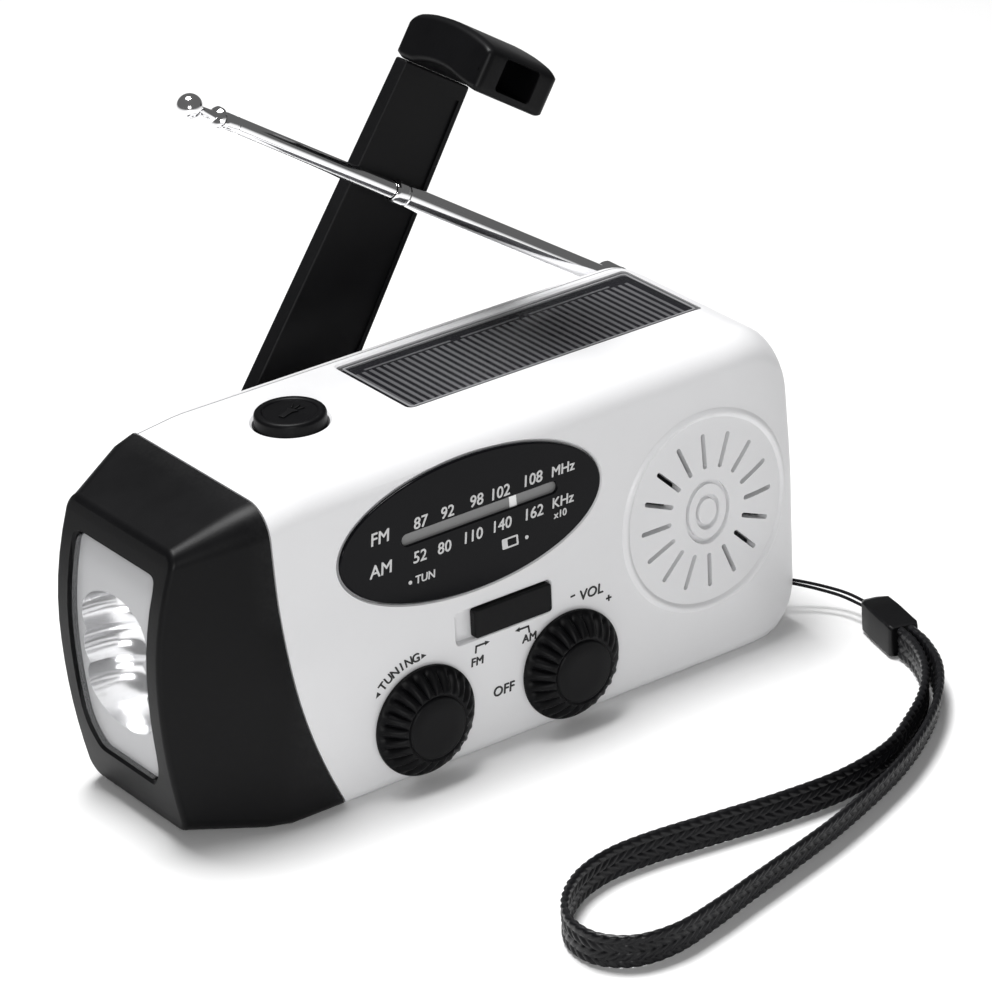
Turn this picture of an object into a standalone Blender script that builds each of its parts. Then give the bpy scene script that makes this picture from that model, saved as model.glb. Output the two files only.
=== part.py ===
"""A hand-crank emergency radio with a torch head, a solar panel, a telescopic antenna and a wrist strap.

Every size below is in millimetres; solid() and tube() turn them into Blender's metres.
The origin is at the middle of the flat base, on the surface that the radio stands on.
+X points at the loudspeaker end, -Y at the front with the dial, and +Z up.
"""

import math

import bmesh
import bpy
from mathutils import Matrix, Vector

MM = 0.001
GAP = 0.3  # clearance between neighbouring solids

# Case
RIGHT = 64.0
HALF_DEPTH = 22.5
HEIGHT = 60.0
WALL = 2.4
SEAM_Y = 19.0  # the front shell is deep, and the back cover closes it here
END_TOP_RADIUS, END_PLAN_RADIUS, END_LOW_RADIUS = 12.0, 10.0, 10.0
TOP_FRONT_RADIUS, TOP_BACK_RADIUS, LOW_RADIUS = 5.5, 3.4, 2.5
FRONT_CORNER_X, FRONT_CORNER_Y = 16.0, 5.0  # half axes of the front's long corner at the right end
CORNER_STEPS = 4
LEAN_START, LEAN = 32.0, 0.07  # above this height the front leans back by this slope
SLOPE_START, SLOPE_END_X, SLOPE_END_Z = -40.0, -48.0, 59.0

# Torch head
JOIN_X, JOIN_SWEEP, JOIN_HEIGHT = -48.0, 11.0, 48.0
HEAD_TOP_X, HEAD_MIDDLE_X, HEAD_LOW_X = -64.0, -68.8, -64.6
HEAD_TOP, HEAD_MIDDLE = 54.7, 31.0
HEAD_HALF_TOP, HEAD_HALF_LOW = 16.7, 15.2
HEAD_LIFT, HEAD_WALL = 1.1, 2.2  # its underside rises towards the window
HEAD_FLANK = (0.27, 0.17)  # its sides draw in late: shares of the way along and of the way in
HEAD_RADII = (3.0, 3.6, 3.0)  # top front, bottom and top back, at its end face
HEAD_SIDE_HEIGHTS = (45.0, 38.5, 32.0, 24.0, 16.0, 9.0)  # rows of points down its sides
WINDOW_LOW, WINDOW_HIGH, WINDOW_HALF_TOP, WINDOW_HALF_LOW = 9.4, 49.2, 12.2, 11.2
LENS_DEPTH, LENS_THICK = 0.4, 0.8
LED_Z = (22.6, 29.0, 35.4)
LED_RADIUS, LED_FOOT, LED_BACK_X, LED_TIP_X = 2.4, 2.75, -53.7, -60.5
CUP_WIDE = 1.65  # how much wider than high the reflector bowls are

# Controls on the front
KNOB_Z, TUNING_X, VOLUME_X = 11.2, -20.8, 10.4
KNOB_RADIUS, KNOB_CAP_RADIUS, KNOB_HEIGHT, KNOB_FLUTES = 10.2, 5.8, 4.2, 24
KNOB_FLANGE, KNOB_SHOULDER, KNOB_BROW = (9.6, 1.1), (8.4, 2.6), (6.6, 3.9)  # radius and height
SHAFT_RADIUS = 2.6
DIAL_X, DIAL_Z, DIAL_HALF_WIDTH, DIAL_HALF_HEIGHT = -8.2, 44.3, 27.3, 12.2
DIAL_THICK = 1.2
SCALE_X, SCALE_Z, SCALE_LENGTH, SCALE_HEIGHT = -6.4, 45.4, 32.5, 2.1
POINTER_X = 0.85
BAND_X, BAND_Z, BAND_LENGTH, BAND_HEIGHT = -3.0, 25.6, 20.2, 6.0
BAND_SLIDER, BAND_TRAVEL = 16.4, 3.2

# Loudspeaker
SPEAKER_X, SPEAKER_Z, SPEAKER_FRONT = 41.8, 30.35, -18.4
GRILLE_RADIUS, GRILLE_PLATE_RADIUS, GRILLE_RISE = 19.0, 17.3, 0.5
GRILLE_SLOTS, SLOT_INNER, SLOT_OUTER, SLOT_WIDTH = 16, 8.1, 14.7, 0.9
GRILLE_RINGS = ((6.1, 5.2), (3.3, 2.5))  # outer and inner radius of each groove in the middle
RING_NARROW, RING_DEPTH = 0.8, 1.0  # the grooves are narrower than they are high

# Top
BUTTON_X, BUTTON_Y, BUTTON_RADIUS = -26.6, 4.2, 6.3
BUTTON_LOW, BUTTON_TOP = 56.8, 62.0
SOLAR_X, SOLAR_Y, SOLAR_LENGTH, SOLAR_WIDTH = 23.6, 6.3, 63.8, 22.8
SOLAR_DEPTH = 1.9

# Crank, turning about Y
HUB_X, HUB_Z = -30.0, 20.0
ARM_ANGLE = math.radians(57.0)  # from +X towards +Z, in the raised pose
ARM_FRONT, ARM_BACK = 27.6, 31.0
ARM_END, ARM_HALF_HUB, ARM_HALF_END = 98.7, 11.0, 7.8
GRIP_START, GRIP_TOP, GRIP_FRONT, GRIP_BACK, GRIP_HALF = 99.0, 108.4, 7.3, 31.3, 8.4
GRIP_PIN_RADIUS = 0.8
GRIP_DRAW = 0.8  # how far its outline draws in at its two sides

# Gear train: drive gear - idler pinion, idler wheel - dynamo pinion
MODULE, WHEEL_TEETH, PINION_TEETH = 0.8, 36, 9
CENTRES = MODULE * (WHEEL_TEETH + PINION_TEETH) / 2 + 0.15
IDLER_ANGLE, DYNAMO_ANGLE = math.radians(50.0), math.radians(-20.0)
IDLER_X = HUB_X + CENTRES * math.cos(IDLER_ANGLE)
IDLER_Z = HUB_Z + CENTRES * math.sin(IDLER_ANGLE)
DYNAMO_X = IDLER_X + CENTRES * math.cos(DYNAMO_ANGLE)
DYNAMO_Z = IDLER_Z + CENTRES * math.sin(DYNAMO_ANGLE)
OUTER_LAYER, INNER_LAYER, GEAR_WIDTH = 13.5, 9.5, 3.0

# Antenna, turning about Y at the top right corner of the back
ANTENNA_X, ANTENNA_Y, ANTENNA_Z = 57.5, 24.9, 54.6
ANTENNA_ANGLE = math.radians(33.5)  # above -X, in the raised pose
SECTION_RADII = ((2.1, 1.8), (1.6, 1.2))
SECTION_1, SECTION_2, SECTION_3 = (3.6, 56.2), (47.0, 96.6), (52.0, 96.8)
ROD_RADIUS, BALL_RADIUS, BALL_AT = 0.9, 2.3, 104.0

# Wrist strap, lying on the surface in front of the radio
LUG_X, LUG_Y, LUG_Z = 60.6, -12.5, 6.0
CORD_RADIUS = 0.9
CORD_ROUTE = (
    (62.6, -12.3, 6.0), (64.6, -13.5, 5.7), (67.4, -15.7, 5.0), (70.2, -18.8, 4.2),
    (72.2, -22.9, 3.7), (72.9, -28.8, 3.4),
)
BEAD_CENTRE, BEAD_TURN = (71.1, -36.0, 3.4), math.radians(14.0)
BAND_THICK, BAND_WIDE, BAND_LOW_Z = 1.5, 6.2, 0.3
BAND_LEAN, BAND_LEAN_SHARE = math.radians(18.0), 0.5  # the near half of the loop leans outwards
WEBBING_ROUTE = (
    (70.2, -43.6), (68.6, -49.3), (64.6, -56.8), (58.0, -64.0), (49.8, -70.3), (40.3, -75.9),
    (29.4, -80.7), (17.2, -85.2), (5.7, -88.7), (-5.1, -91.8), (-15.8, -95.0), (-24.7, -97.0),
    (-32.2, -96.0), (-36.6, -91.4), (-36.8, -85.0), (-33.2, -78.9), (-26.7, -74.0),
    (-18.9, -71.7), (-10.0, -71.8), (2.2, -73.6), (14.7, -75.4), (27.5, -76.0), (39.4, -73.6),
    (48.6, -68.5), (56.6, -62.7), (63.0, -55.7), (66.9, -48.6), (68.35, -43.1),
)
WEBBING_POINTS = 78

# Fasteners in the back cover
SCREWS = ((-40.0, 52.0), (-8.0, 6.5), (52.0, 8.5), (44.0, 52.0))
SCREW_TIP_Y, SCREW_HEAD_Y, SCREW_FACE_Y = 10.0, 21.6, 22.5
SCREW_RADIUS, SCREW_HEAD_RADIUS, SCREW_SOCKET_RADIUS = 1.2, 2.4, 0.9


# ---------------------------------------------------------------- materials

def material(name, colour, roughness, metallic=0.0):
    made = bpy.data.materials.new(name)
    made.use_nodes = True
    shader = made.node_tree.nodes["Principled BSDF"]
    shader.inputs["Base Color"].default_value = (*colour, 1.0)
    shader.inputs["Roughness"].default_value = roughness
    shader.inputs["Metallic"].default_value = metallic
    made.diffuse_color = (*colour, 1.0)
    return made


def own_material(name, kind):
    """Each piece has its own material, of one of these kinds."""
    colour, roughness, metallic = {
        "white": ((0.86, 0.86, 0.86), 0.35, 0.0),
        "black": ((0.02, 0.02, 0.022), 0.42, 0.0),
        "gloss": ((0.008, 0.008, 0.01), 0.08, 0.0),
        "chrome": ((0.85, 0.85, 0.86), 0.08, 1.0),
        "steel": ((0.55, 0.55, 0.57), 0.3, 1.0),
        "brass": ((0.72, 0.55, 0.25), 0.3, 1.0),
        "clear": ((0.8, 0.82, 0.84), 0.05, 0.0),
        "board": ((0.05, 0.22, 0.09), 0.5, 0.0),
        "nylon": ((0.78, 0.77, 0.72), 0.5, 0.0),
        "cell": ((0.02, 0.02, 0.03), 0.2, 0.0),
        "paper": ((0.06, 0.06, 0.06), 0.9, 0.0),
        "strap": ((0.015, 0.015, 0.016), 0.85, 0.0),
        "foil": ((0.1, 0.3, 0.12), 0.35, 0.0),
        "ferrite": ((0.07, 0.06, 0.06), 0.7, 0.0),
    }[kind]
    return material(name + "_material", colour, roughness, metallic)


# ---------------------------------------------------------------- mesh tools

def clear_scene():
    for thing in list(bpy.data.objects):
        bpy.data.objects.remove(thing, do_unlink=True)


def solid(name, mesh, kind, pivot=(0.0, 0.0, 0.0)):
    """An object from a closed bmesh in millimetres, with its origin at pivot."""
    bmesh.ops.recalc_face_normals(mesh, faces=mesh.faces)
    data = bpy.data.meshes.new(name)
    centre = Vector(pivot)
    for vertex in mesh.verts:
        vertex.co = (vertex.co - centre) * MM
    mesh.to_mesh(data)
    mesh.free()
    made = bpy.data.objects.new(name, data)
    made.location = centre * MM
    bpy.context.scene.collection.objects.link(made)
    data.shade_smooth()
    data.set_sharp_from_angle(angle=math.radians(32.0))
    data.materials.append(own_material(name, kind))
    return made


def boolean(target, mesh, operation="DIFFERENCE"):
    """Cuts a bmesh from target, or joins it on, through a hidden helper object."""
    count = len(target.modifiers)
    helper = solid(f"{target.name}_tool_{count}", mesh, "nylon")
    helper.hide_render = True
    helper.display_type = "WIRE"
    modifier = target.modifiers.new(f"tool_{count}", "BOOLEAN")
    modifier.operation = operation
    modifier.solver = "EXACT"
    modifier.object = helper
    return target


def loft(rings, strips_at_end=False):
    """A closed body through rings with equally many points. The last cap can be curved."""
    mesh = bmesh.new()
    rows = [[mesh.verts.new(point) for point in ring] for ring in rings]
    count = len(rows[0])
    for low, high in zip(rows, rows[1:]):
        for i in range(count):
            j = (i + 1) % count
            mesh.faces.new((low[i], low[j], high[j], high[i]))
    mesh.faces.new(rows[0])
    last = rows[-1]
    if strips_at_end:
        for i in range(count // 2 - 1):
            mesh.faces.new((last[i], last[i + 1], last[count - 2 - i], last[count - 1 - i]))
    else:
        mesh.faces.new(last)
    return mesh


AXES = {
    "X": lambda u, v, w: (w, u, v),
    "Y": lambda u, v, w: (u, w, v),
    "Z": lambda u, v, w: (u, v, w),
}


def prism(outline, low, high, axis="Y"):
    """The outline's (u, v) points extruded along an axis: XZ along Y, YZ along X, XY along Z."""
    place = AXES[axis]
    return loft([[place(u, v, w) for u, v in outline] for w in (low, high)])


def box(low, high):
    outline = ((low[0], low[1]), (high[0], low[1]), (high[0], high[1]), (low[0], high[1]))
    return prism(outline, low[2], high[2], "Z")


def circle(u, v, radius, count=24):
    turn = 2.0 * math.pi / count
    return [(u + radius * math.cos(i * turn), v + radius * math.sin(i * turn)) for i in range(count)]


def ellipse(u, v, half_u, half_v, count=40):
    turn = 2.0 * math.pi / count
    return [(u + half_u * math.cos(i * turn), v + half_v * math.sin(i * turn)) for i in range(count)]


def rounded(u, v, width, height, radius, steps=3):
    """A rectangle about (u, v) with round corners."""
    points = []
    for corner, (side_u, side_v) in enumerate(((1, 1), (-1, 1), (-1, -1), (1, -1))):
        for step in range(steps + 1):
            angle = (corner + step / steps) * math.pi / 2
            points.append((
                u + side_u * (width / 2 - radius) + radius * math.cos(angle),
                v + side_v * (height / 2 - radius) + radius * math.sin(angle),
            ))
    return points


def turned(profile, count=24):
    """A body turned about Z. The profile's (radius, height) points run round a closed section,
    and a section that meets the axis starts and ends on it."""
    mesh = bmesh.new()
    rows = []
    for radius, height in profile:
        if radius == 0.0:
            rows.append([mesh.verts.new((0.0, 0.0, height))] * count)
        else:
            rows.append([mesh.verts.new((u, v, height)) for u, v in circle(0.0, 0.0, radius, count)])
    on_axis = profile[0][0] == 0.0
    pairs = list(zip(rows, rows[1:])) + ([] if on_axis else [(rows[-1], rows[0])])
    for low, high in pairs:
        for i in range(count):
            j = (i + 1) % count
            corners = []
            for vertex in (low[i], low[j], high[j], high[i]):
                if vertex not in corners:
                    corners.append(vertex)
            mesh.faces.new(corners)
    return mesh


def placed(mesh, matrix):
    bmesh.ops.transform(mesh, matrix=matrix, verts=mesh.verts)
    return mesh


def along_y(x, z, y=0.0):
    """Turns a body made about Z so that its height runs along +Y through (x, z)."""
    return Matrix.Translation((x, y, z)) @ Matrix.Rotation(-math.pi / 2, 4, "X")


def along_x(y, z):
    """Turns a body made about Z so that its height runs along +X through (y, z)."""
    return Matrix.Translation((0.0, y, z)) @ Matrix.Rotation(math.pi / 2, 4, "Y")


def rod(x, z, radius, low, high, count=20):
    """A cylinder along Y."""
    return prism(circle(x, z, radius, count), low, high, "Y")


def ring_along_y(x, z, outer, inner, low, high, count=24):
    profile = ((outer, low), (outer, high), (inner, high), (inner, low))
    return placed(turned(profile, count), along_y(x, z))


# ---------------------------------------------------------------- case

def rounding(x, radius, end):
    """How far a round edge of this radius has drawn in at x, before the right end."""
    reach = x - (end - radius)
    if reach <= 0.0:
        return 0.0
    return radius - math.sqrt(max(0.0, radius * radius - reach * reach))


def front_rounding(x, wall):
    """How far the front has drawn back at x, along a long elliptical corner."""
    start = RIGHT - FRONT_CORNER_X
    if x <= start:
        return 0.0
    share = min(1.0, (x - start) / (FRONT_CORNER_X - wall))
    return (FRONT_CORNER_Y - wall) * (1.0 - math.sqrt(1.0 - share * share))


def top_at(x):
    """Height of the top, which slopes down towards the torch head."""
    if x >= SLOPE_START:
        return HEIGHT
    share = (SLOPE_START - x) / (SLOPE_START - SLOPE_END_X)
    return HEIGHT - (HEIGHT - SLOPE_END_Z) * min(share, 1.6)


def section(x, front, back, low, high, radii, lean=LEAN, side_heights=(LEAN_START,)):
    """A closed YZ section: top front corner, front side, two lower corners, back side, top back corner."""
    top_front, bottom, top_back = radii
    quarter = [i * math.pi / 2 / CORNER_STEPS for i in range(CORNER_STEPS + 1)]
    points = []
    for t in quarter:
        points.append((front + top_front * (1 - math.sin(t)), high - top_front * (1 - math.cos(t))))
    points += [(front, z) for z in side_heights]
    for t in quarter:
        points.append((front + bottom * (1 - math.cos(t)), low + bottom * (1 - math.sin(t))))
    for t in quarter:
        points.append((back - bottom * (1 - math.sin(t)), low + bottom * (1 - math.cos(t))))
    points += [(back, z) for z in reversed(side_heights)]
    for t in quarter:
        points.append((back - top_back * (1 - math.cos(t)), high - top_back * (1 - math.sin(t))))
    leaned = []
    for y, z in points:
        shift = lean * max(0.0, z - LEAN_START) if y < 0.0 else 0.0
        leaned.append((x, y + shift, z))
    return leaned


def case_section(x, wall=0.0, side_heights=(LEAN_START,)):
    end = RIGHT - wall
    plan = rounding(x, END_PLAN_RADIUS - wall, end)
    return section(
        x,
        -HALF_DEPTH + wall + front_rounding(x, wall),
        HALF_DEPTH - wall - plan,
        wall + rounding(x, END_LOW_RADIUS - wall, end),
        top_at(x) - wall - rounding(x, END_TOP_RADIUS - wall, end),
        (TOP_FRONT_RADIUS - wall, max(0.6, LOW_RADIUS - wall), TOP_BACK_RADIUS - wall),
        side_heights=side_heights,
    )


def case_body(wall=0.0, left=-62.0):
    end = RIGHT - wall
    radius = END_TOP_RADIUS - wall
    stations = [left, SLOPE_END_X - 4.8, SLOPE_START, 48.0, 50.3]
    stations += [end - radius + radius * math.sin(math.radians(a)) for a in (0, 20, 38, 54, 68, 80, 90)]
    return loft([case_section(x, wall) for x in stations])


def join_curve(shift=0.0):
    """The line between the torch head and the case, as (x, z) from the bottom up."""
    heights = (-3.0, 3.0, 9.0, 15.0, 22.0, 30.0, 39.0, 48.0, 70.0)
    return [
        (JOIN_X + JOIN_SWEEP * max(0.0, 1.0 - z / JOIN_HEIGHT) ** 2.2 + shift, z) for z in heights
    ]


def left_of_join():
    return prism(join_curve() + [(-90.0, 70.0), (-90.0, -3.0)], -40.0, 40.0)


def right_of_join():
    return prism(join_curve(-GAP) + [(0.0, 70.0), (0.0, -3.0)], -40.0, 40.0)


def dial_matrix():
    """Carries a piece drawn on the upright plane y = -HALF_DEPTH onto the leaning upper front."""
    hinge = Matrix.Translation((0.0, -HALF_DEPTH, LEAN_START))
    return hinge @ Matrix.Rotation(-math.atan(LEAN), 4, "X") @ hinge.inverted()


def on_dial(outline, outer, inner):
    """A plate parallel to the leaning front, between two depths measured inwards from it."""
    return placed(prism(outline, -HALF_DEPTH + outer, -HALF_DEPTH + inner), dial_matrix())


def grille_slot(index):
    length = SLOT_OUTER - SLOT_INNER
    slot = rounded((SLOT_OUTER + SLOT_INNER) / 2, 0.0, length, SLOT_WIDTH, SLOT_WIDTH / 2 - 0.01, 2)
    angle = index * 2.0 * math.pi / GRILLE_SLOTS
    outline = [
        (
            SPEAKER_X + u * math.cos(angle) - v * math.sin(angle),
            SPEAKER_Z + u * math.sin(angle) + v * math.cos(angle),
        )
        for u, v in slot
    ]
    return prism(outline, -30.0, -18.0)


def grille_groove(outer, inner):
    """An oval ring cut into the middle of the grille."""
    ring = ring_along_y(0.0, 0.0, outer, inner, -30.0, -HALF_DEPTH + RING_DEPTH)
    centre = Matrix.Translation((SPEAKER_X, 0.0, SPEAKER_Z))
    return placed(ring, centre @ Matrix.Diagonal((RING_NARROW, 1.0, 1.0, 1.0)))


def grille_rim(case):
    """A low ring round the grille that follows the front's curve."""
    rim = solid("grille_rim_tool", case_body(-GRILLE_RISE), "white")
    ring = ring_along_y(SPEAKER_X, SPEAKER_Z, GRILLE_RADIUS, GRILLE_PLATE_RADIUS, -30.0, -17.5, 40)
    boolean(rim, ring, "INTERSECT")
    rim.hide_render = True
    rim.display_type = "WIRE"
    join = case.modifiers.new("grille_rim", "BOOLEAN")
    join.operation = "UNION"
    join.solver = "EXACT"
    join.object = rim


def screw_post(x, z):
    """A block on the nearest wall that takes a case screw."""
    low, high = (1.0, z + 3.2) if z < HEIGHT / 2 else (z - 3.2, HEIGHT - 1.0)
    return box((x - 3.2, 8.0, low), (x + 3.2, SEAM_Y - 0.4, high))


def front_case():
    case = solid("front_case", case_body(), "white")
    boolean(case, case_body(WALL, -70.0))
    for x, z in SCREWS:
        boolean(case, screw_post(x, z), "UNION")
    boolean(case, box((56.5, LUG_Y - 4.5, 2.2), (60.0, LUG_Y + 4.5, 10.5)), "UNION")
    grille_rim(case)
    boolean(case, box((-80.0, SEAM_Y, -5.0), (80.0, 40.0, 80.0)))
    boolean(case, left_of_join())
    for index in range(GRILLE_SLOTS):
        boolean(case, grille_slot(index))
    for outer, inner in GRILLE_RINGS:
        boolean(case, grille_groove(outer, inner))
    solar = rounded(SOLAR_X, SOLAR_Y, SOLAR_LENGTH, SOLAR_WIDTH, 1.0, 2)
    boolean(case, prism(solar, HEIGHT - SOLAR_DEPTH, 70.0, "Z"))
    boolean(case, prism(circle(BUTTON_X, BUTTON_Y, BUTTON_RADIUS + 0.4), 50.0, 70.0, "Z"))
    for x in (TUNING_X, VOLUME_X):
        boolean(case, rod(x, KNOB_Z, SHAFT_RADIUS + 0.4, -30.0, -15.0))
    dial = ellipse(DIAL_X, DIAL_Z, DIAL_HALF_WIDTH + GAP, DIAL_HALF_HEIGHT + GAP)
    boolean(case, on_dial(dial, -6.0, DIAL_THICK + 0.1))
    boolean(case, on_dial(rounded(SCALE_X, SCALE_Z, SCALE_LENGTH + 3.0, 9.0, 1.0, 1), -3.0, 6.0))
    band = rounded(BAND_X, BAND_Z, BAND_LENGTH, BAND_HEIGHT, 0.8, 2)
    boolean(case, prism(band, -30.0, -HALF_DEPTH + 1.3))
    boolean(case, prism(rounded(BAND_X, BAND_Z, 9.0, 3.2, 0.6, 1), -30.0, -18.0))
    pocket = box((LUG_X - 1.8, LUG_Y - 3.0, LUG_Z - 2.2), (70.0, LUG_Y + 3.0, LUG_Z + 2.2))
    boolean(case, pocket)
    for x, z in SCREWS:
        boolean(case, rod(x, z, 1.5, 9.5, 25.0, 12))
    return case


def back_case():
    cover = solid("back_case", case_body(), "white")
    boolean(cover, case_body(WALL, -70.0))
    boolean(cover, box((-80.0, -40.0, -5.0), (80.0, SEAM_Y + GAP, 80.0)))
    boolean(cover, left_of_join())
    boolean(cover, rod(HUB_X, HUB_Z, 6.0, 10.0, 30.0, 28))
    boolean(cover, rod(ANTENNA_X - 0.5, ANTENNA_Z - 1.0, 2.6, 10.0, 30.0, 16))
    for x, z in SCREWS:
        boolean(cover, rod(x, z, 1.5, 10.0, 30.0, 12))
        boolean(cover, rod(x, z, 2.7, 21.3, 30.0, 16))
    return cover


def case_screws():
    socket_y = SCREW_HEAD_Y + GAP
    profile = (
        (0.0, SCREW_TIP_Y), (SCREW_RADIUS, SCREW_TIP_Y), (SCREW_RADIUS, SCREW_HEAD_Y),
        (SCREW_HEAD_RADIUS, SCREW_HEAD_Y), (SCREW_HEAD_RADIUS, SCREW_FACE_Y),
        (SCREW_SOCKET_RADIUS, SCREW_FACE_Y), (SCREW_SOCKET_RADIUS, socket_y), (0.0, socket_y),
    )
    for number, (x, z) in enumerate(SCREWS, 1):
        solid(f"case_screw_{number}", placed(turned(profile, 14), along_y(x, z)), "steel")


# ---------------------------------------------------------------- torch head

def head_end_x(z):
    """The bowed end face, as an arc through its top, middle and bottom."""
    if z >= HEAD_MIDDLE:
        share = (z - HEAD_MIDDLE) / (HEAD_TOP - HEAD_MIDDLE)
        return HEAD_MIDDLE_X + (HEAD_TOP_X - HEAD_MIDDLE_X) * share ** 2
    share = (HEAD_MIDDLE - z) / HEAD_MIDDLE
    return HEAD_MIDDLE_X + (HEAD_LOW_X - HEAD_MIDDLE_X) * share ** 2


def head_end(inset, depth):
    """A section of the head at its end face, drawn in by inset and set back by depth."""
    ring = section(
        0.0, -HEAD_HALF_TOP + inset, HEAD_HALF_TOP - inset, HEAD_LIFT + inset, HEAD_TOP - inset,
        [max(0.4, radius - inset) for radius in HEAD_RADII], 0.0, HEAD_SIDE_HEIGHTS,
    )
    narrow = (HEAD_HALF_TOP - HEAD_HALF_LOW) / HEAD_TOP / HEAD_HALF_TOP
    return [(head_end_x(z) + depth, y * (1.0 - narrow * (HEAD_TOP - z)), z) for _, y, z in ring]


def between(start, end, along, aside):
    """A ring at the share along of the way in X, and at the share aside of the way in Y and Z."""
    return [
        (a[0] + (b[0] - a[0]) * along, a[1] + (b[1] - a[1]) * aside, a[2] + (b[2] - a[2]) * aside)
        for a, b in zip(start, end)
    ]


def head_body(wall=0.0, depth=0.0, right=-30.0):
    stations = [case_section(x, wall, HEAD_SIDE_HEIGHTS) for x in (right, SLOPE_START, SLOPE_END_X)]
    if wall:
        return loft(stations + [head_end(wall, depth)], strips_at_end=True)
    rim = head_end(0.0, 1.1)
    flank = between(stations[-1], rim, *HEAD_FLANK)
    stations += [flank, rim, head_end(0.35, 0.4), head_end(1.1, 0.0)]
    return loft(stations, strips_at_end=True)


def torch_window(extra=0.0):
    """The YZ outline of the window, wider at its top."""
    top, low = WINDOW_HALF_TOP + extra, WINDOW_HALF_LOW + extra
    high, bottom = WINDOW_HIGH + extra, WINDOW_LOW - extra
    return [
        (-top + 1.6, high), (top - 1.6, high), (top, high - 1.8), (low + 0.4, bottom + 5.5),
        (low - 3.2, bottom), (-low + 3.2, bottom), (-low - 0.4, bottom + 5.5), (-top, high - 1.8),
    ]


def behind_end(depth, low, high, steps=8):
    """(x, z) points of a line that follows the end face at this depth."""
    heights = [low + (high - low) * i / steps for i in range(steps + 1)]
    return [(head_end_x(z) + depth, z) for z in heights]


def torch_head():
    head = solid("torch_head", head_body(), "black")
    boolean(head, head_body(HEAD_WALL, HEAD_WALL, -26.0))
    boolean(head, right_of_join())
    boolean(head, prism(torch_window(), -80.0, -58.0, "X"))
    return head


def window_slab(name, kind, outer, inner):
    """A bowed slab that fills the window, between two depths behind the end face."""
    front = behind_end(outer, WINDOW_LOW - 2.0, WINDOW_HIGH + 2.0)
    back = behind_end(inner, WINDOW_LOW - 2.0, WINDOW_HIGH + 2.0)
    made = solid(name, prism(front + back[::-1], -14.0, 14.0), kind)
    boolean(made, prism(torch_window(-GAP), -80.0, -50.0, "X"), "INTERSECT")
    return made


def torch_lens():
    window_slab("torch_lens", "clear", LENS_DEPTH, LENS_DEPTH + LENS_THICK)


def torch_reflector():
    block = window_slab("torch_reflector", "chrome", LENS_DEPTH + LENS_THICK + GAP, 4.0)
    front = behind_end(HEAD_WALL + GAP, 10.0, 49.0)
    boolean(block, prism(front + [(-54.0, 49.0), (-54.0, 10.0)], -11.8, 11.8), "UNION")
    stretch = Matrix.Diagonal((1.0, CUP_WIDE, 1.0, 1.0))
    profile = (
        (0.0, -74.0), (6.6, -74.0), (6.1, -66.6), (4.9, -60.5), (2.9, -57.6), (2.9, -50.0),
        (0.0, -50.0),
    )
    for z in LED_Z:
        cup = placed(turned(profile, 20), stretch @ along_x(0.0, 0.0))
        boolean(block, placed(cup, Matrix.Translation((0.0, 0.0, z))))


def torch_leds():
    foot = LED_BACK_X - 0.9
    profile = (
        (0.0, LED_TIP_X), (1.2, LED_TIP_X + 0.35), (2.1, LED_TIP_X + 1.3),
        (LED_RADIUS, LED_TIP_X + 2.6), (LED_RADIUS, foot), (LED_FOOT, foot), (LED_FOOT, LED_BACK_X),
        (0.0, LED_BACK_X),
    )
    for number, z in enumerate(LED_Z, 1):
        solid(f"torch_led_{number}", placed(turned(profile, 14), along_x(0.0, z)), "clear")
    face = LED_BACK_X + GAP
    solid("led_board", box((face, -10.0, 12.0), (face + 1.4, 10.0, 46.0)), "board")


# ---------------------------------------------------------------- top

def torch_button():
    dish = BUTTON_TOP - 0.25
    profile = (
        (0.0, BUTTON_LOW), (BUTTON_RADIUS, BUTTON_LOW), (BUTTON_RADIUS, BUTTON_TOP - 0.6),
        (BUTTON_RADIUS - 0.5, BUTTON_TOP), (BUTTON_RADIUS - 1.3, BUTTON_TOP),
        (BUTTON_RADIUS - 1.5, dish), (0.0, dish),
    )
    button = placed(turned(profile, 32), Matrix.Translation((BUTTON_X, BUTTON_Y, 0.0)))
    solid("torch_button", button, "black", (BUTTON_X, BUTTON_Y, BUTTON_TOP))
    low, high = (BUTTON_X - 3.5, BUTTON_Y - 3.5, 50.0), (BUTTON_X + 3.5, BUTTON_Y + 3.5, 55.2)
    solid("torch_switch", box(low, high), "steel")


def solar_panel():
    length, width = SOLAR_LENGTH - 2 * GAP, SOLAR_WIDTH - 2 * GAP
    floor = HEIGHT - SOLAR_DEPTH + GAP
    plate = rounded(SOLAR_X, SOLAR_Y, length, width, 0.8, 2)
    solid("solar_cell", prism(plate, floor, floor + 0.4, "Z"), "cell")
    solid("solar_cover", prism(plate, floor + 0.7, floor + 1.1, "Z"), "clear")


# ---------------------------------------------------------------- dial and controls

def dial():
    oval = ellipse(DIAL_X, DIAL_Z, DIAL_HALF_WIDTH, DIAL_HALF_HEIGHT)
    window = solid("dial_window", on_dial(oval, -0.3, DIAL_THICK - 0.2), "gloss")
    slot = rounded(SCALE_X, SCALE_Z, SCALE_LENGTH, SCALE_HEIGHT, 0.8, 2)
    boolean(window, on_dial(slot, -3.0, 6.0))
    plate = rounded(SCALE_X, SCALE_Z, SCALE_LENGTH + 2.0, 7.4, 0.8, 1)
    solid("dial_plate", on_dial(plate, 2.3, 3.0), "nylon")


def dial_pointer():
    mesh = on_dial(rounded(POINTER_X, SCALE_Z, 1.5, 5.0, 0.3, 1), 1.3, 2.0)
    solid("dial_pointer", mesh, "white", (POINTER_X, -HALF_DEPTH, SCALE_Z))


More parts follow.
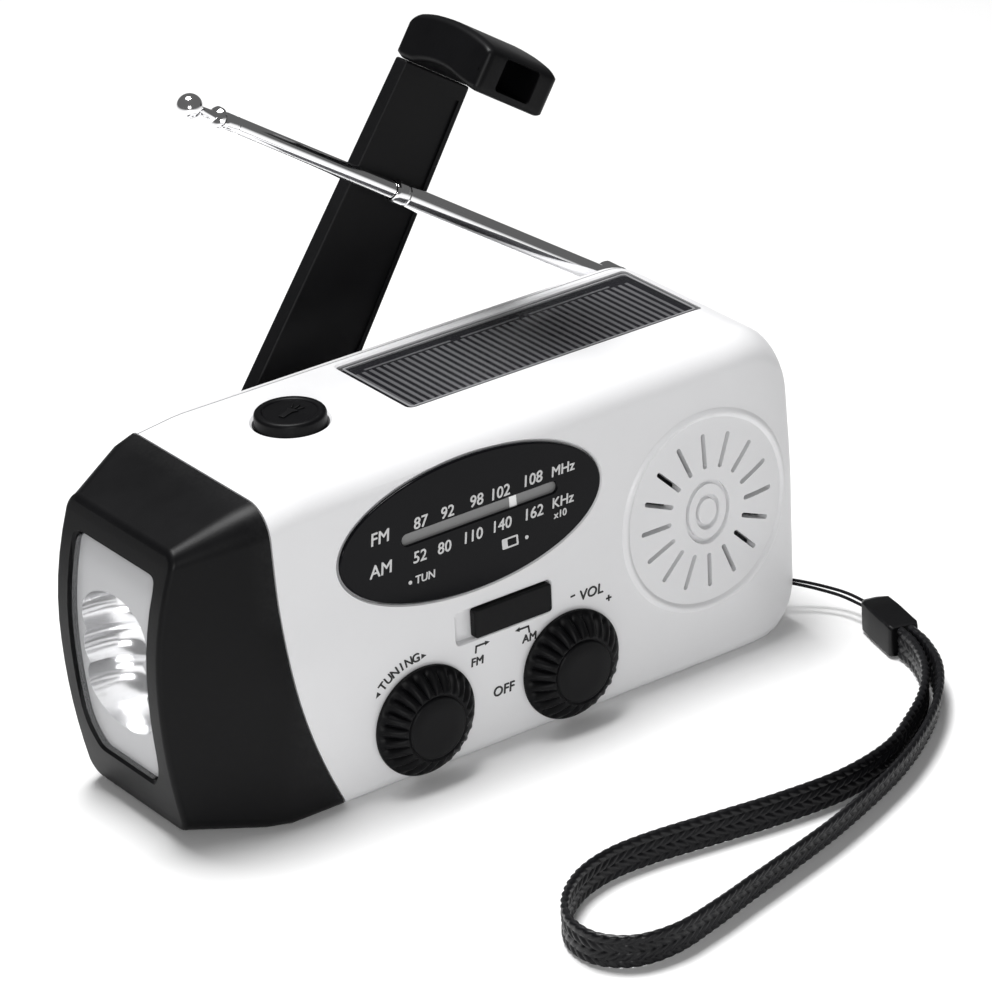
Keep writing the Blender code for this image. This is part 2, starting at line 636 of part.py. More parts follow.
def band_switch():
    slider_x = BAND_X + (BAND_LENGTH - BAND_SLIDER) / 2 - GAP
    pivot = (slider_x, -HALF_DEPTH, BAND_Z)
    outline = rounded(slider_x, BAND_Z, BAND_SLIDER, BAND_HEIGHT - 2 * GAP, 0.6, 2)
    plate = prism(outline, -HALF_DEPTH - 0.7, -HALF_DEPTH + 0.95)
    slider = solid("band_slider", plate, "black", pivot)
    stem_x = BAND_X + BAND_TRAVEL / 2
    stem = box((stem_x - 1.7, -HALF_DEPTH, BAND_Z - 1.2), (stem_x + 1.7, -18.9, BAND_Z + 1.2))
    boolean(slider, stem, "UNION")
    body = box((BAND_X - 8.5, -18.5, BAND_Z - 3.4), (BAND_X + 8.5, -13.0, BAND_Z + 3.4))
    solid("band_switch", body, "steel")


def knob_ring(radius, height, flute):
    """A ring of shallow scallops with a narrow crest between them."""
    points = []
    for i in range(KNOB_FLUTES):
        for share, drop in ((0.0, 0.0), (0.36, 0.75), (0.64, 0.75)):
            angle = (i + share) * 2.0 * math.pi / KNOB_FLUTES
            reach = radius - flute * drop
            points.append((reach * math.cos(angle), reach * math.sin(angle), height))
    return points


def knob(name, x):
    rings = [
        knob_ring(KNOB_RADIUS, 0.0, 0.0), knob_ring(KNOB_RADIUS, 0.5, 0.0),
        knob_ring(*KNOB_FLANGE, 1.0), knob_ring(*KNOB_SHOULDER, 1.2), knob_ring(*KNOB_BROW, 0.7),
        knob_ring(KNOB_CAP_RADIUS, KNOB_HEIGHT, 0.0),
    ]
    face = -HALF_DEPTH - GAP
    turn = Matrix.Translation((x, face, KNOB_Z)) @ Matrix.Rotation(math.pi / 2, 4, "X")
    made = solid(name, placed(loft(rings), turn), "black", (x, face, KNOB_Z))
    boolean(made, rod(x, KNOB_Z, SHAFT_RADIUS + GAP, face - 3.2, face + 2.0))


def controls():
    face = -HALF_DEPTH - GAP
    knob("tuning_knob", TUNING_X)
    knob("volume_knob", VOLUME_X)
    for name, x in (("tuning_shaft", TUNING_X), ("volume_shaft", VOLUME_X)):
        solid(name, rod(x, KNOB_Z, SHAFT_RADIUS, face - 2.9, -17.8), "brass", (x, face, KNOB_Z))
    pulley = ring_along_y(TUNING_X, KNOB_Z, 6.0, SHAFT_RADIUS + GAP, -19.7, -18.3)
    solid("tuning_pulley", pulley, "nylon", (TUNING_X, face, KNOB_Z))
    low, high = (TUNING_X - 8.8, -17.5, KNOB_Z - 8.8), (TUNING_X + 8.8, -9.4, KNOB_Z + 8.8)
    solid("tuning_capacitor", box(low, high), "nylon")
    solid("volume_control", rod(VOLUME_X, KNOB_Z, 8.0, -17.5, -9.4), "steel")


# ---------------------------------------------------------------- inside

def speaker():
    """Drawn with its flange at height 0, pointing back from the grille."""
    frame = (
        (16.5, 0.0), (16.5, 2.2), (15.2, 2.8), (8.6, 10.5), (3.0, 10.5), (3.0, 9.8), (7.6, 9.8),
        (14.4, 1.8), (15.3, 0.0),
    )
    cone = ((0.0, 6.6), (4.0, 7.2), (13.6, 0.3), (13.9, 1.0), (4.1, 8.0), (0.0, 7.4))
    back = along_y(SPEAKER_X, SPEAKER_Z, SPEAKER_FRONT)
    solid("speaker_frame", placed(turned(frame, 28), back), "steel")
    solid("speaker_cone", placed(turned(cone, 28), back), "paper")
    magnet = rod(SPEAKER_X, SPEAKER_Z, 9.5, SPEAKER_FRONT + 10.8, SPEAKER_FRONT + 16.4, 28)
    solid("speaker_magnet", magnet, "steel")


def electronics():
    solid("main_board", box((-36.0, -9.1, 4.0), (20.0, -7.5, 52.0)), "board")
    battery = prism(circle(9.0, 10.5, 7.0, 24), 13.4, 48.4, "X")
    solid("battery", battery, "foil")
    solid("ferrite_rod", prism(circle(3.0, 53.6, 3.4, 16), -10.0, 36.0, "X"), "ferrite")


# ---------------------------------------------------------------- crank and gears

def gear_outline(x, z, teeth, phase):
    """Plain teeth: four points each, thin enough to run with play."""
    pitch = MODULE * teeth / 2
    root, tip = pitch - 1.05 * MODULE, pitch + 0.85 * MODULE
    step = 2.0 * math.pi / teeth
    points = []
    for i in range(teeth):
        for share, radius in ((-0.29, root), (-0.11, tip), (0.11, tip), (0.29, root)):
            angle = phase + (i + share) * step
            points.append((x + radius * math.cos(angle), z + radius * math.sin(angle)))
    return points


def gears():
    bore = 3.3
    wheel = gear_outline(HUB_X, HUB_Z, WHEEL_TEETH, IDLER_ANGLE)
    drive = solid(
        "drive_gear", prism(wheel, OUTER_LAYER, OUTER_LAYER + GEAR_WIDTH), "nylon",
        (HUB_X, OUTER_LAYER, HUB_Z),
    )
    boolean(drive, rod(HUB_X, HUB_Z, bore, 5.0, 25.0))
    half_tooth = math.pi / PINION_TEETH
    small = gear_outline(IDLER_X, IDLER_Z, PINION_TEETH, IDLER_ANGLE + math.pi + half_tooth)
    wheel = gear_outline(IDLER_X, IDLER_Z, WHEEL_TEETH, DYNAMO_ANGLE)
    idler = solid(
        "idler_gear", prism(wheel, INNER_LAYER, INNER_LAYER + GEAR_WIDTH), "nylon",
        (IDLER_X, INNER_LAYER, IDLER_Z),
    )
    boolean(idler, prism(small, INNER_LAYER + 1.0, OUTER_LAYER + GEAR_WIDTH), "UNION")
    boolean(idler, rod(IDLER_X, IDLER_Z, 1.5, 5.0, 25.0, 14))
    solid("idler_pin", rod(IDLER_X, IDLER_Z, 1.2, 6.5, 18.6, 12), "steel")
    pinion = gear_outline(DYNAMO_X, DYNAMO_Z, PINION_TEETH, DYNAMO_ANGLE + math.pi + half_tooth)
    made = solid(
        "dynamo_pinion", prism(pinion, INNER_LAYER, INNER_LAYER + GEAR_WIDTH), "brass",
        (DYNAMO_X, INNER_LAYER, DYNAMO_Z),
    )
    boolean(made, rod(DYNAMO_X, DYNAMO_Z, 1.2, 8.4, 15.0, 12))
    solid("dynamo_shaft", rod(DYNAMO_X, DYNAMO_Z, 0.9, 9.2, 13.0, 12), "steel", (DYNAMO_X, 9.2, DYNAMO_Z))
    solid("dynamo", rod(DYNAMO_X, DYNAMO_Z, 10.0, -4.5, 8.8, 28), "steel")


def arm_matrix():
    """Carries the crank's own (radial, y, lateral) axes onto the raised pose."""
    turn = Matrix.Rotation(-ARM_ANGLE, 4, "Y")
    return Matrix.Translation((HUB_X, 0.0, HUB_Z)) @ turn


def crank_arm():
    """The arm in its own axes: X along it, Z across it."""
    hub = [math.radians(a) for a in range(90, 271, 20)]
    outline = [(ARM_HALF_HUB * math.cos(a), ARM_HALF_HUB * math.sin(a)) for a in hub]
    outline += [(ARM_END, -ARM_HALF_END), (ARM_END, ARM_HALF_END)]
    matrix = arm_matrix()
    pivot = (HUB_X, ARM_FRONT, HUB_Z)
    arm = solid("crank_arm", placed(prism(outline, ARM_FRONT, ARM_BACK), matrix), "black", pivot)
    pocket = [(15.0, -9.5), (ARM_END - 3.0, -6.8), (ARM_END - 3.0, 6.8), (15.0, 9.5)]
    boolean(arm, placed(prism(pocket, ARM_FRONT - 2.0, ARM_FRONT + 0.4), matrix))
    boolean(arm, rod(HUB_X, HUB_Z, 3.3, 20.0, 40.0))
    middle = (ARM_FRONT + ARM_BACK) / 2
    bore = placed(prism(circle(middle, 0.0, GRIP_PIN_RADIUS + GAP, 12), 90.0, 120.0, "X"), matrix)
    boolean(arm, bore)


def crank_hub():
    pivot = (HUB_X, ARM_FRONT, HUB_Z)
    solid("crank_hub", ring_along_y(HUB_X, HUB_Z, 8.5, 3.3, 23.6, 27.3, 28), "black", pivot)
    shaft = rod(HUB_X, HUB_Z, 3.0, 12.4, ARM_BACK - 0.4, 20)
    solid("crank_shaft", shaft, "steel", pivot)
    face = ARM_BACK + GAP
    profile = ((0.0, face), (4.2, face), (4.2, face + 0.7), (3.2, face + 1.5), (0.0, face + 1.5))
    solid("hub_screw", placed(turned(profile, 20), along_y(HUB_X, HUB_Z)), "steel", pivot)
    bush = ring_along_y(HUB_X, HUB_Z, 5.7, 3.3, 19.6, 23.2, 28)
    solid("hub_bush", bush, "brass")


def crank_grip():
    """The grip in the crank's axes, as a (radial, y) outline swept across the arm's width."""
    outline = [
        (GRIP_START, GRIP_BACK), (104.4, GRIP_BACK), (106.6, GRIP_BACK - 0.9), (107.6, 29.2),
        (GRIP_TOP, 25.6), (108.8, 20.0), (GRIP_TOP, 14.0), (107.6, 9.4), (106.8, GRIP_FRONT + 0.3),
        (105.6, GRIP_FRONT), (100.0, GRIP_FRONT), (GRIP_START + 0.2, GRIP_FRONT + 0.4),
        (GRIP_START, GRIP_FRONT + 1.2), (99.5, 12.5), (100.3, 16.5), (100.4, 20.5), (99.8, 24.6),
        (GRIP_START, 26.6),
    ]
    middle = 0.5 * (GRIP_START + GRIP_TOP)
    rings = []
    for lateral, draw in (
        (-GRIP_HALF, GRIP_DRAW), (1.0 - GRIP_HALF, 0.0), (GRIP_HALF - 1.0, 0.0), (GRIP_HALF, GRIP_DRAW),
    ):
        ring = []
        for radial, y in outline:
            drawn = radial - math.copysign(draw, radial - middle)
            ring.append((drawn, min(max(y, GRIP_FRONT + draw), GRIP_BACK - draw), lateral))
        rings.append(ring)
    matrix = arm_matrix()
    middle_y = (ARM_FRONT + ARM_BACK) / 2
    pivot = matrix @ Vector((GRIP_START, middle_y, 0.0))
    grip = solid("crank_grip", placed(loft(rings), matrix), "black", tuple(pivot))
    hollow = placed(box((100.6, GRIP_FRONT - 2.0, -3.9), (106.2, GRIP_FRONT + 9.0, 3.9)), matrix)
    boolean(grip, hollow)
    bore = placed(prism(circle(middle_y, 0.0, GRIP_PIN_RADIUS + GAP, 12), 90.0, 104.0, "X"), matrix)
    boolean(grip, bore)
    pin = placed(prism(circle(middle_y, 0.0, GRIP_PIN_RADIUS, 12), 90.3, 103.6, "X"), matrix)
    solid("grip_pin", pin, "steel", tuple(pivot))


# ---------------------------------------------------------------- antenna

def antenna_matrix():
    """Carries a body made about Z onto the antenna's line, its height measured from the pivot."""
    turn = Matrix.Rotation(ANTENNA_ANGLE - math.pi / 2, 4, "Y")
    return Matrix.Translation((ANTENNA_X, ANTENNA_Y, ANTENNA_Z)) @ turn


def antenna():
    matrix = antenna_matrix()
    pivot = (ANTENNA_X, ANTENNA_Y, ANTENNA_Z)
    knuckle = ring_along_y(ANTENNA_X, ANTENNA_Z, 3.2, 1.7, 23.0, 27.0, 24)
    solid("antenna_knuckle", knuckle, "chrome", pivot)
    solid("antenna_screw", rod(ANTENNA_X, ANTENNA_Z, 1.35, 19.6, 27.0, 16), "steel")
    (outer_1, inner_1), (outer_2, inner_2) = SECTION_RADII
    start, end = SECTION_1
    profile = (
        (0.0, start), (outer_1, start), (outer_1, end - 0.8), (outer_1 - 0.2, end), (inner_1, end),
        (inner_1, start + 4.4), (0.0, start + 4.4),
    )
    solid("antenna_section_1", placed(turned(profile, 18), matrix), "chrome", pivot)
    start, end = SECTION_2
    profile = (
        (0.0, start), (outer_2, start), (outer_2, end - 0.6), (outer_2 - 0.2, end), (inner_2, end),
        (inner_2, start + 1.5), (0.0, start + 1.5),
    )
    centre = tuple(matrix @ Vector((0.0, 0.0, end)))
    solid("antenna_section_2", placed(turned(profile, 16), matrix), "chrome", centre)
    start, end = SECTION_3
    profile = ((0.0, start), (ROD_RADIUS, start), (ROD_RADIUS, end), (0.0, end))
    centre = tuple(matrix @ Vector((0.0, 0.0, BALL_AT)))
    solid("antenna_section_3", placed(turned(profile, 12), matrix), "chrome", centre)
    solid("antenna_tip", placed(turned(tip_profile(), 18), matrix), "chrome", centre)


def tip_profile():
    """Collar, thin neck and ball."""
    start = SECTION_3[1] + GAP
    profile = [
        (0.0, start), (1.7, start), (2.0, start + 0.4), (2.0, start + 1.1), (1.1, start + 1.7),
        (ROD_RADIUS, 101.4),
    ]
    for degrees in range(-55, 90, 29):
        angle = math.radians(degrees)
        profile.append((BALL_RADIUS * math.cos(angle), BALL_AT + BALL_RADIUS * math.sin(angle)))
    return profile + [(0.0, BALL_AT + BALL_RADIUS)]


# ---------------------------------------------------------------- wrist strap

def smooth_route(points, count):
    """Evenly spaced points on a Catmull-Rom curve through hand-set points."""
    ends = [points[0] + (points[0] - points[1]), *points, points[-1] + (points[-1] - points[-2])]
    fine = []
    for a, b, c, d in zip(ends, ends[1:], ends[2:], ends[3:]):
        for step in range(16):
            t = step / 16
            bend, twist = 2 * a - 5 * b + 4 * c - d, 3 * b - a - 3 * c + d
            fine.append(0.5 * (2 * b + (c - a) * t + bend * t * t + twist * t ** 3))
    fine.append(points[-1])
    reach = [0.0]
    for before, after in zip(fine, fine[1:]):
        reach.append(reach[-1] + (after - before).length)
    even, place = [], 0
    for i in range(count):
        wanted = reach[-1] * i / (count - 1)
        while place < len(reach) - 2 and reach[place + 1] < wanted:
            place += 1
        share = (wanted - reach[place]) / (reach[place + 1] - reach[place])
        even.append(fine[place].lerp(fine[place + 1], share))
    return even


def tube(name, points, radius, kind):
    """A round cord along points."""
    curve = bpy.data.curves.new(name, "CURVE")
    curve.dimensions = "3D"
    curve.bevel_depth = radius * MM
    curve.bevel_resolution = 2
    curve.use_fill_caps = True
    spline = curve.splines.new("POLY")
    spline.points.add(len(points) - 1)
    for target, point in zip(spline.points, points):
        target.co = (*(point * MM), 1.0)
    made = bpy.data.objects.new(name, curve)
    bpy.context.scene.collection.objects.link(made)
    curve.materials.append(own_material(name, kind))
    return made


def band_rings(points):
    """Rectangles across a level route: a flat strap standing on its edge, leaning out of its loop."""
    rings = []
    for i, point in enumerate(points):
        before, after = points[max(i - 1, 0)], points[min(i + 1, len(points) - 1)]
        inwards = (after - before).cross(Vector((0.0, 0.0, 1.0))).normalized()
        share = i / (len(points) - 1) / BAND_LEAN_SHARE
        lean = BAND_LEAN * math.sin(math.pi * share) if share < 1.0 else 0.0
        rise = Vector((0.0, 0.0, BAND_WIDE * math.cos(lean))) - inwards * BAND_WIDE * math.sin(lean)
        side = inwards * (BAND_THICK / 2)
        rings.append([point + side, point + side + rise, point - side + rise, point - side])
    return rings


def bead_mesh():
    """A small block with chamfered ends, from its place along, its half width and its half height."""
    rings = []
    for along, wide, high in ((-7.0, 1.9, 2.2), (-4.4, 2.9, 3.1), (6.2, 2.9, 3.1), (7.0, 2.5, 2.7)):
        corners = ((wide, -high), (wide, high), (-wide, high), (-wide, -high))
        rings.append([(across, along, z) for across, z in corners])
    turn = Matrix.Rotation(math.pi - BEAD_TURN, 4, "Z")
    return placed(loft(rings), Matrix.Translation(BEAD_CENTRE) @ turn)


def wrist_strap():
    pin = prism(circle(LUG_X, LUG_Y, 0.7, 12), LUG_Z - 1.9, LUG_Z + 1.9, "Z")
    solid("strap_pin", pin, "steel")
    tube("strap_cord", smooth_route([Vector(p) for p in CORD_ROUTE], 14), CORD_RADIUS, "strap")
    solid("strap_bead", bead_mesh(), "black")
    route = [Vector((x, y, BAND_LOW_Z)) for x, y in WEBBING_ROUTE]
    solid("strap_webbing", loft(band_rings(smooth_route(route, WEBBING_POINTS))), "strap")


def main():
    clear_scene()
    front_case()
    back_case()
    case_screws()
    torch_head()
    torch_lens()
    torch_reflector()
    torch_leds()
    torch_button()
    solar_panel()
    dial()
    dial_pointer()
    band_switch()
    controls()
    speaker()
    electronics()
    gears()
    crank_arm()
    crank_hub()
    crank_grip()
    antenna()
    wrist_strap()


main()
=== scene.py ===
"""Looks of a hand-crank emergency radio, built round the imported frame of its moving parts.

Shapes are drawn in millimetres, like the design they follow, and become metres in start_piece().
The origin is at the middle of the flat base. +X is the loudspeaker end, -Y the front, +Z up.
"""
from math import atan, copysign, cos, pi, radians, sin, sqrt

import bmesh
import bpy
from mathutils import Matrix, Vector


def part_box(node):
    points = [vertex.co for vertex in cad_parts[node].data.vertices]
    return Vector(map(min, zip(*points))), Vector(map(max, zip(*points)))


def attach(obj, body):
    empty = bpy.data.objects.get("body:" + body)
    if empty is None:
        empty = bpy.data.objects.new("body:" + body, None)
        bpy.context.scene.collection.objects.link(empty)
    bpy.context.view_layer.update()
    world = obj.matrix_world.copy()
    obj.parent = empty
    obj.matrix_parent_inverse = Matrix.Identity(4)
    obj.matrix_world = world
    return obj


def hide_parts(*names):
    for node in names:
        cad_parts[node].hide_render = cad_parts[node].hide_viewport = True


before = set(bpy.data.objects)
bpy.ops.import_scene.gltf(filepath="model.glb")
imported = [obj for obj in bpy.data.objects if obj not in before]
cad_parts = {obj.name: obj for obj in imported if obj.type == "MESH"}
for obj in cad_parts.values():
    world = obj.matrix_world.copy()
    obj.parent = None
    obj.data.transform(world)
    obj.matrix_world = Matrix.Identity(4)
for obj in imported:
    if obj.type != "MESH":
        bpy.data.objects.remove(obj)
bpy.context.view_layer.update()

MM = 0.001
GAP = 0.3  # between neighbouring pieces

# Case, read from the frame where it is a whole size
case_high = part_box("front_case")[1]
RIGHT, HEIGHT = case_high.x / MM, case_high.z / MM
HALF_DEPTH, WALL, SEAM_Y = 22.5, 2.4, 19
FRONT = -HALF_DEPTH
END_TOP_RADIUS, END_PLAN_RADIUS, END_LOW_RADIUS = 12, 10, 10
TOP_FRONT_RADIUS, TOP_BACK_RADIUS, LOW_RADIUS = 5.5, 3.4, 2.5
FRONT_CORNER_X, FRONT_CORNER_Y = 16, 5
CORNER_STEPS = 9
LEAN_START, LEAN, LEAN_EASE = 32, 0.07, 5
SLOPE_START, SLOPE_END_X, SLOPE_END_Z = -40, -48, 59
SIDE_HEIGHTS = range(37, 26, -2)

# Torch head
JOIN_X, JOIN_SWEEP, JOIN_HEIGHT = -48, 11, 48
HEAD_TOP_X, HEAD_MIDDLE_X, HEAD_LOW_X = -64, -68.8, -64.6
HEAD_TOP, HEAD_MIDDLE = 54.7, 31
HEAD_HALF_TOP, HEAD_HALF_LOW = 16.7, 15.2
HEAD_LIFT, HEAD_RIM, HEAD_WALL = 1.1, 1.15, 2.2
HEAD_FLANK = (0.27, 0.17)
HEAD_SIDE_HEIGHTS = range(48, 7, -4)
WINDOW_LOW, WINDOW_HIGH, WINDOW_HALF_TOP, WINDOW_HALF_LOW = 9.4, 49.2, 12.2, 11.2
LENS_DEPTH, LENS_THICK = 0.4, 0.8
LED_Z = (22.6, 29, 35.4)
CUP_WIDE = 1.65

# Front
PRINT = 0.03  # half the thickness of printing, and how far its middle stands off
PRINT_FACE = FRONT - PRINT
KNOB_Z, TUNING_X, VOLUME_X = 11.2, -20.8, 10.4
KNOB_RADIUS, KNOB_CAP_RADIUS, KNOB_HEIGHT, KNOB_FLUTES, SHAFT_RADIUS = 10.2, 5.8, 4.2, 24, 2.6
DIAL_X, DIAL_Z, DIAL_HALF_WIDTH, DIAL_HALF_HEIGHT = -8.2, 44.3, 27.3, 12.2
DIAL_THICK, DIAL_PROUD = 1.2, 0.3
SCALE_X, SCALE_Z, SCALE_LENGTH, SCALE_HEIGHT, POINTER_X = -6.4, 45.4, 32.5, 2.1, 0.85
BAND_X, BAND_Z, BAND_LENGTH, BAND_HEIGHT, BAND_SLIDER = -3, 25.6, 20.2, 6, 16.4
SPEAKER_X, SPEAKER_Z, GRILLE_RADIUS, GRILLE_PLATE_RADIUS, GRILLE_RISE = 41.8, 30.35, 19, 17.3, 0.5
GRILLE_SLOTS, SLOT_INNER, SLOT_OUTER, SLOT_WIDTH = 16, 8.1, 14.7, 0.9
GRILLE_RINGS = ((6.1, 5.2), (3.3, 2.5))  # outer and inner radius of each groove
RING_NARROW, RING_DEPTH = 0.8, 1  # the grooves are narrower than they are high

# Top
BUTTON_X, BUTTON_Y, BUTTON_RADIUS, BUTTON_TOP = -26.6, 4.2, 6.3, 62
SOLAR_X, SOLAR_Y, SOLAR_LENGTH, SOLAR_WIDTH, SOLAR_DEPTH = 23.6, 6.3, 63.8, 22.8, 1.9
CELL_LINES, CELL_LINE = 39, 0.34  # how many, and half the width of one

# Crank and antenna
HUB_X, HUB_Z, ARM_ANGLE = -30, 20, radians(57)
ARM_FRONT, ARM_BACK, ARM_END, ARM_HALF_HUB, ARM_HALF_END = 27.6, 31, 98.95, 11, 7.8
GRIP_START, GRIP_TOP, GRIP_FRONT, GRIP_BACK, GRIP_HALF = 99, 108.4, 7.3, 31.3, 8.4
ANTENNA_X, ANTENNA_Y, ANTENNA_Z, ANTENNA_ANGLE = 57.5, 24.9, 54.6, radians(33.5)
SECTION_1, SECTION_2, SECTION_3 = (3.6, 56.2), (47, 96.6), (52, 96.8)
BALL_RADIUS, BALL_AT = 2.3, 104
SCREWS = ((-40, 52), (-8, 6.5), (52, 8.5), (44, 52))

# Wrist strap, the same routes as its CAD solids
LUG_X, LUG_Y, LUG_Z = 60.6, -12.5, 6
CORD_ROUTE = (
    (62.6, -12.3, 6), (64.6, -13.5, 5.7), (67.4, -15.7, 5), (70.2, -18.8, 4.2),
    (72.2, -22.9, 3.7), (72.9, -28.8, 3.4),
)
STRAND_RADIUS, STRAND_OFFSET = 0.3, 0.75
BEAD_CENTRE, BEAD_TURN = (71.1, -36, 3.4), radians(14)
BAND_THICK, BAND_WIDE, BAND_LOW_Z = 1.5, 6.2, 0.3
BAND_LEAN, BAND_LEAN_SHARE, BRAID_RISE = radians(18), 0.5, 0.36
WEBBING_ROUTE = (
    (70.2, -43.6), (68.6, -49.3), (64.6, -56.8), (58, -64), (49.8, -70.3), (40.3, -75.9),
    (29.4, -80.7), (17.2, -85.2), (5.7, -88.7), (-5.1, -91.8), (-15.8, -95), (-24.7, -97),
    (-32.2, -96), (-36.6, -91.4), (-36.8, -85), (-33.2, -78.9), (-26.7, -74),
    (-18.9, -71.7), (-10, -71.8), (2.2, -73.6), (14.7, -75.4), (27.5, -76), (39.4, -73.6),
    (48.6, -68.5), (56.6, -62.7), (63, -55.7), (66.9, -48.6), (68.35, -43.1),
)


# --- camera, floor and light

def linked(name, data):
    """A new object in the scene."""
    made = bpy.data.objects.new(name, data)
    bpy.context.scene.collection.objects.link(made)
    return made


def make_camera():
    """Looks down on the front from the torch head's side, through a long lens."""
    aside, down, roll = 0.610888, 0.452158, -0.0493633
    ahead = Vector((sin(aside) * cos(down), cos(aside) * cos(down), -sin(down)))
    level = Vector((cos(aside), -sin(aside), 0))
    over = level.cross(ahead)
    right = level * cos(roll) + over * sin(roll)
    up = over * cos(roll) - level * sin(roll)
    lens = bpy.data.cameras.new("camera")
    lens.sensor_width, lens.lens, lens.clip_start = 36, 186.33, 0.01
    camera = linked("camera", lens)
    turn = Matrix((right, up, -ahead)).transposed().to_4x4()
    camera.matrix_world = Matrix.Translation(Vector((-452.85, -664.26, 428.58)) * MM) @ turn
    bpy.context.scene.camera = camera


def soft_light(name, place, aim, size, power):
    """A square area light."""
    lamp = bpy.data.lights.new(name, "AREA")
    lamp.shape, lamp.size, lamp.energy = "SQUARE", size, power
    made = linked(name, lamp)
    made.location = place
    made.rotation_euler = (Vector(aim) - Vector(place)).to_track_quat("-Z", "Y").to_euler()


def make_lights():
    scene = bpy.context.scene
    scene.view_settings.view_transform = "Standard"
    scene.world = bpy.data.worlds.new("studio")
    scene.world.use_nodes = True
    background = scene.world.node_tree.nodes["Background"].inputs
    background["Color"].default_value = (1, 1, 1, 1)
    background["Strength"].default_value = 0.12
    soft_light("overhead_light", (-0.02, 0.14, 0.8), (0, 0, 0), 0.32, 8.5)
    soft_light("front_light", (-0.42, -0.6, 0.3), (-0.02, 0, 0.03), 0.25, 2.2)


# --- materials

def add(tree, kind, **values):
    """A new shader node. A socket among the values is linked to its input, and any other value is set."""
    node = tree.nodes.new(kind)
    for key, value in values.items():
        name = key.replace("_", " ")
        if isinstance(value, bpy.types.NodeSocket):
            tree.links.new(value, node.inputs[name])
        elif name in node.inputs:
            node.inputs[name].default_value = value
        else:
            setattr(node, key, value)
    return node


def look(name, colour, roughness, metallic=0, tone=0.05, spread=0.05, grain=1500, depth=0.012,
         wear=0, sockets=()):
    """Plastic, metal or fabric with uneven colour and roughness, a fine surface grain and rubbed edges."""
    made = bpy.data.materials.new(name)
    made.use_nodes = True
    tree = made.node_tree
    shader = tree.nodes["Principled BSDF"].inputs
    for socket, value in (("Metallic", metallic), *sockets):
        shader[socket].default_value = value
    place = tree.nodes.new("ShaderNodeTexCoord").outputs["Object"]
    noises = [
        add(tree, "ShaderNodeTexNoise", Vector=place, Scale=scale, Detail=detail, Roughness=rough)
        for scale, detail, rough in ((55, 5, 0.62), (grain, 2, 0.5))
    ]
    cloud, speck = (noise.outputs["Fac"] for noise in noises)
    shades = add(tree, "ShaderNodeValToRGB", Fac=cloud)
    dark, light = shades.color_ramp.elements
    dark.position, light.position = 0.3, 0.7
    dark.color = (*(max(0, c * (1 - tone)) for c in colour), 1)
    light.color = (*(min(1, c * (1 + tone) + tone * 0.004) for c in colour), 1)
    base = shades.outputs["Color"]
    if wear:
        base = rubbed_edges(tree, base, speck, colour, wear)
    matt = add(tree, "ShaderNodeMapRange", Value=cloud, From_Min=0.3, From_Max=0.7,
               To_Min=max(0, roughness - spread), To_Max=min(1, roughness + spread))
    bump = add(tree, "ShaderNodeBump", Height=speck, Strength=1, Distance=depth * MM)
    tree.links.new(base, shader["Base Color"])
    tree.links.new(matt.outputs["Result"], shader["Roughness"])
    tree.links.new(bump.outputs["Normal"], shader["Normal"])
    return made


def rubbed_edges(tree, base, speck, colour, wear):
    """Lightens the colour along convex edges, unevenly."""
    edge = tree.nodes.new("ShaderNodeNewGeometry").outputs["Pointiness"]
    mask = add(tree, "ShaderNodeMapRange", Value=edge, From_Min=0.52, From_Max=0.62)
    uneven = add(tree, "ShaderNodeMath", operation="MULTIPLY")
    tree.links.new(mask.outputs["Result"], uneven.inputs[0])
    tree.links.new(speck, uneven.inputs[1])
    mix = add(tree, "ShaderNodeMix", data_type="RGBA", Factor=uneven.outputs["Value"])
    tree.links.new(base, mix.inputs[6])
    mix.inputs[7].default_value = (*(min(1, c + wear) for c in colour), 1)
    return mix.outputs[2]


def clear_look(name, tint, alpha, roughness):
    """A thin clear plastic: mostly see-through, with a gloss and faint smears."""
    sockets = (("Alpha", alpha), ("IOR", 1.49), ("Specular IOR Level", 0.3))
    return look(name, tint, roughness, tone=0.02, spread=0.02, grain=300, depth=0.004, sockets=sockets)


def brushed_look(name, colour):
    """Turned metal: the grain is squeezed along Y into fine rings."""
    made = look(name, colour, 0.3, 1, tone=0.08, spread=0.08, grain=900, depth=0.006)
    tree = made.node_tree
    place = tree.nodes["Texture Coordinate"].outputs["Object"]
    squeezed = add(tree, "ShaderNodeMapping", Vector=place, Scale=(1, 12, 1)).outputs["Vector"]
    fine = next(n for n in tree.nodes if n.type == "TEX_NOISE" and n.inputs["Scale"].default_value > 100)
    tree.links.new(squeezed, fine.inputs["Vector"])
    return made


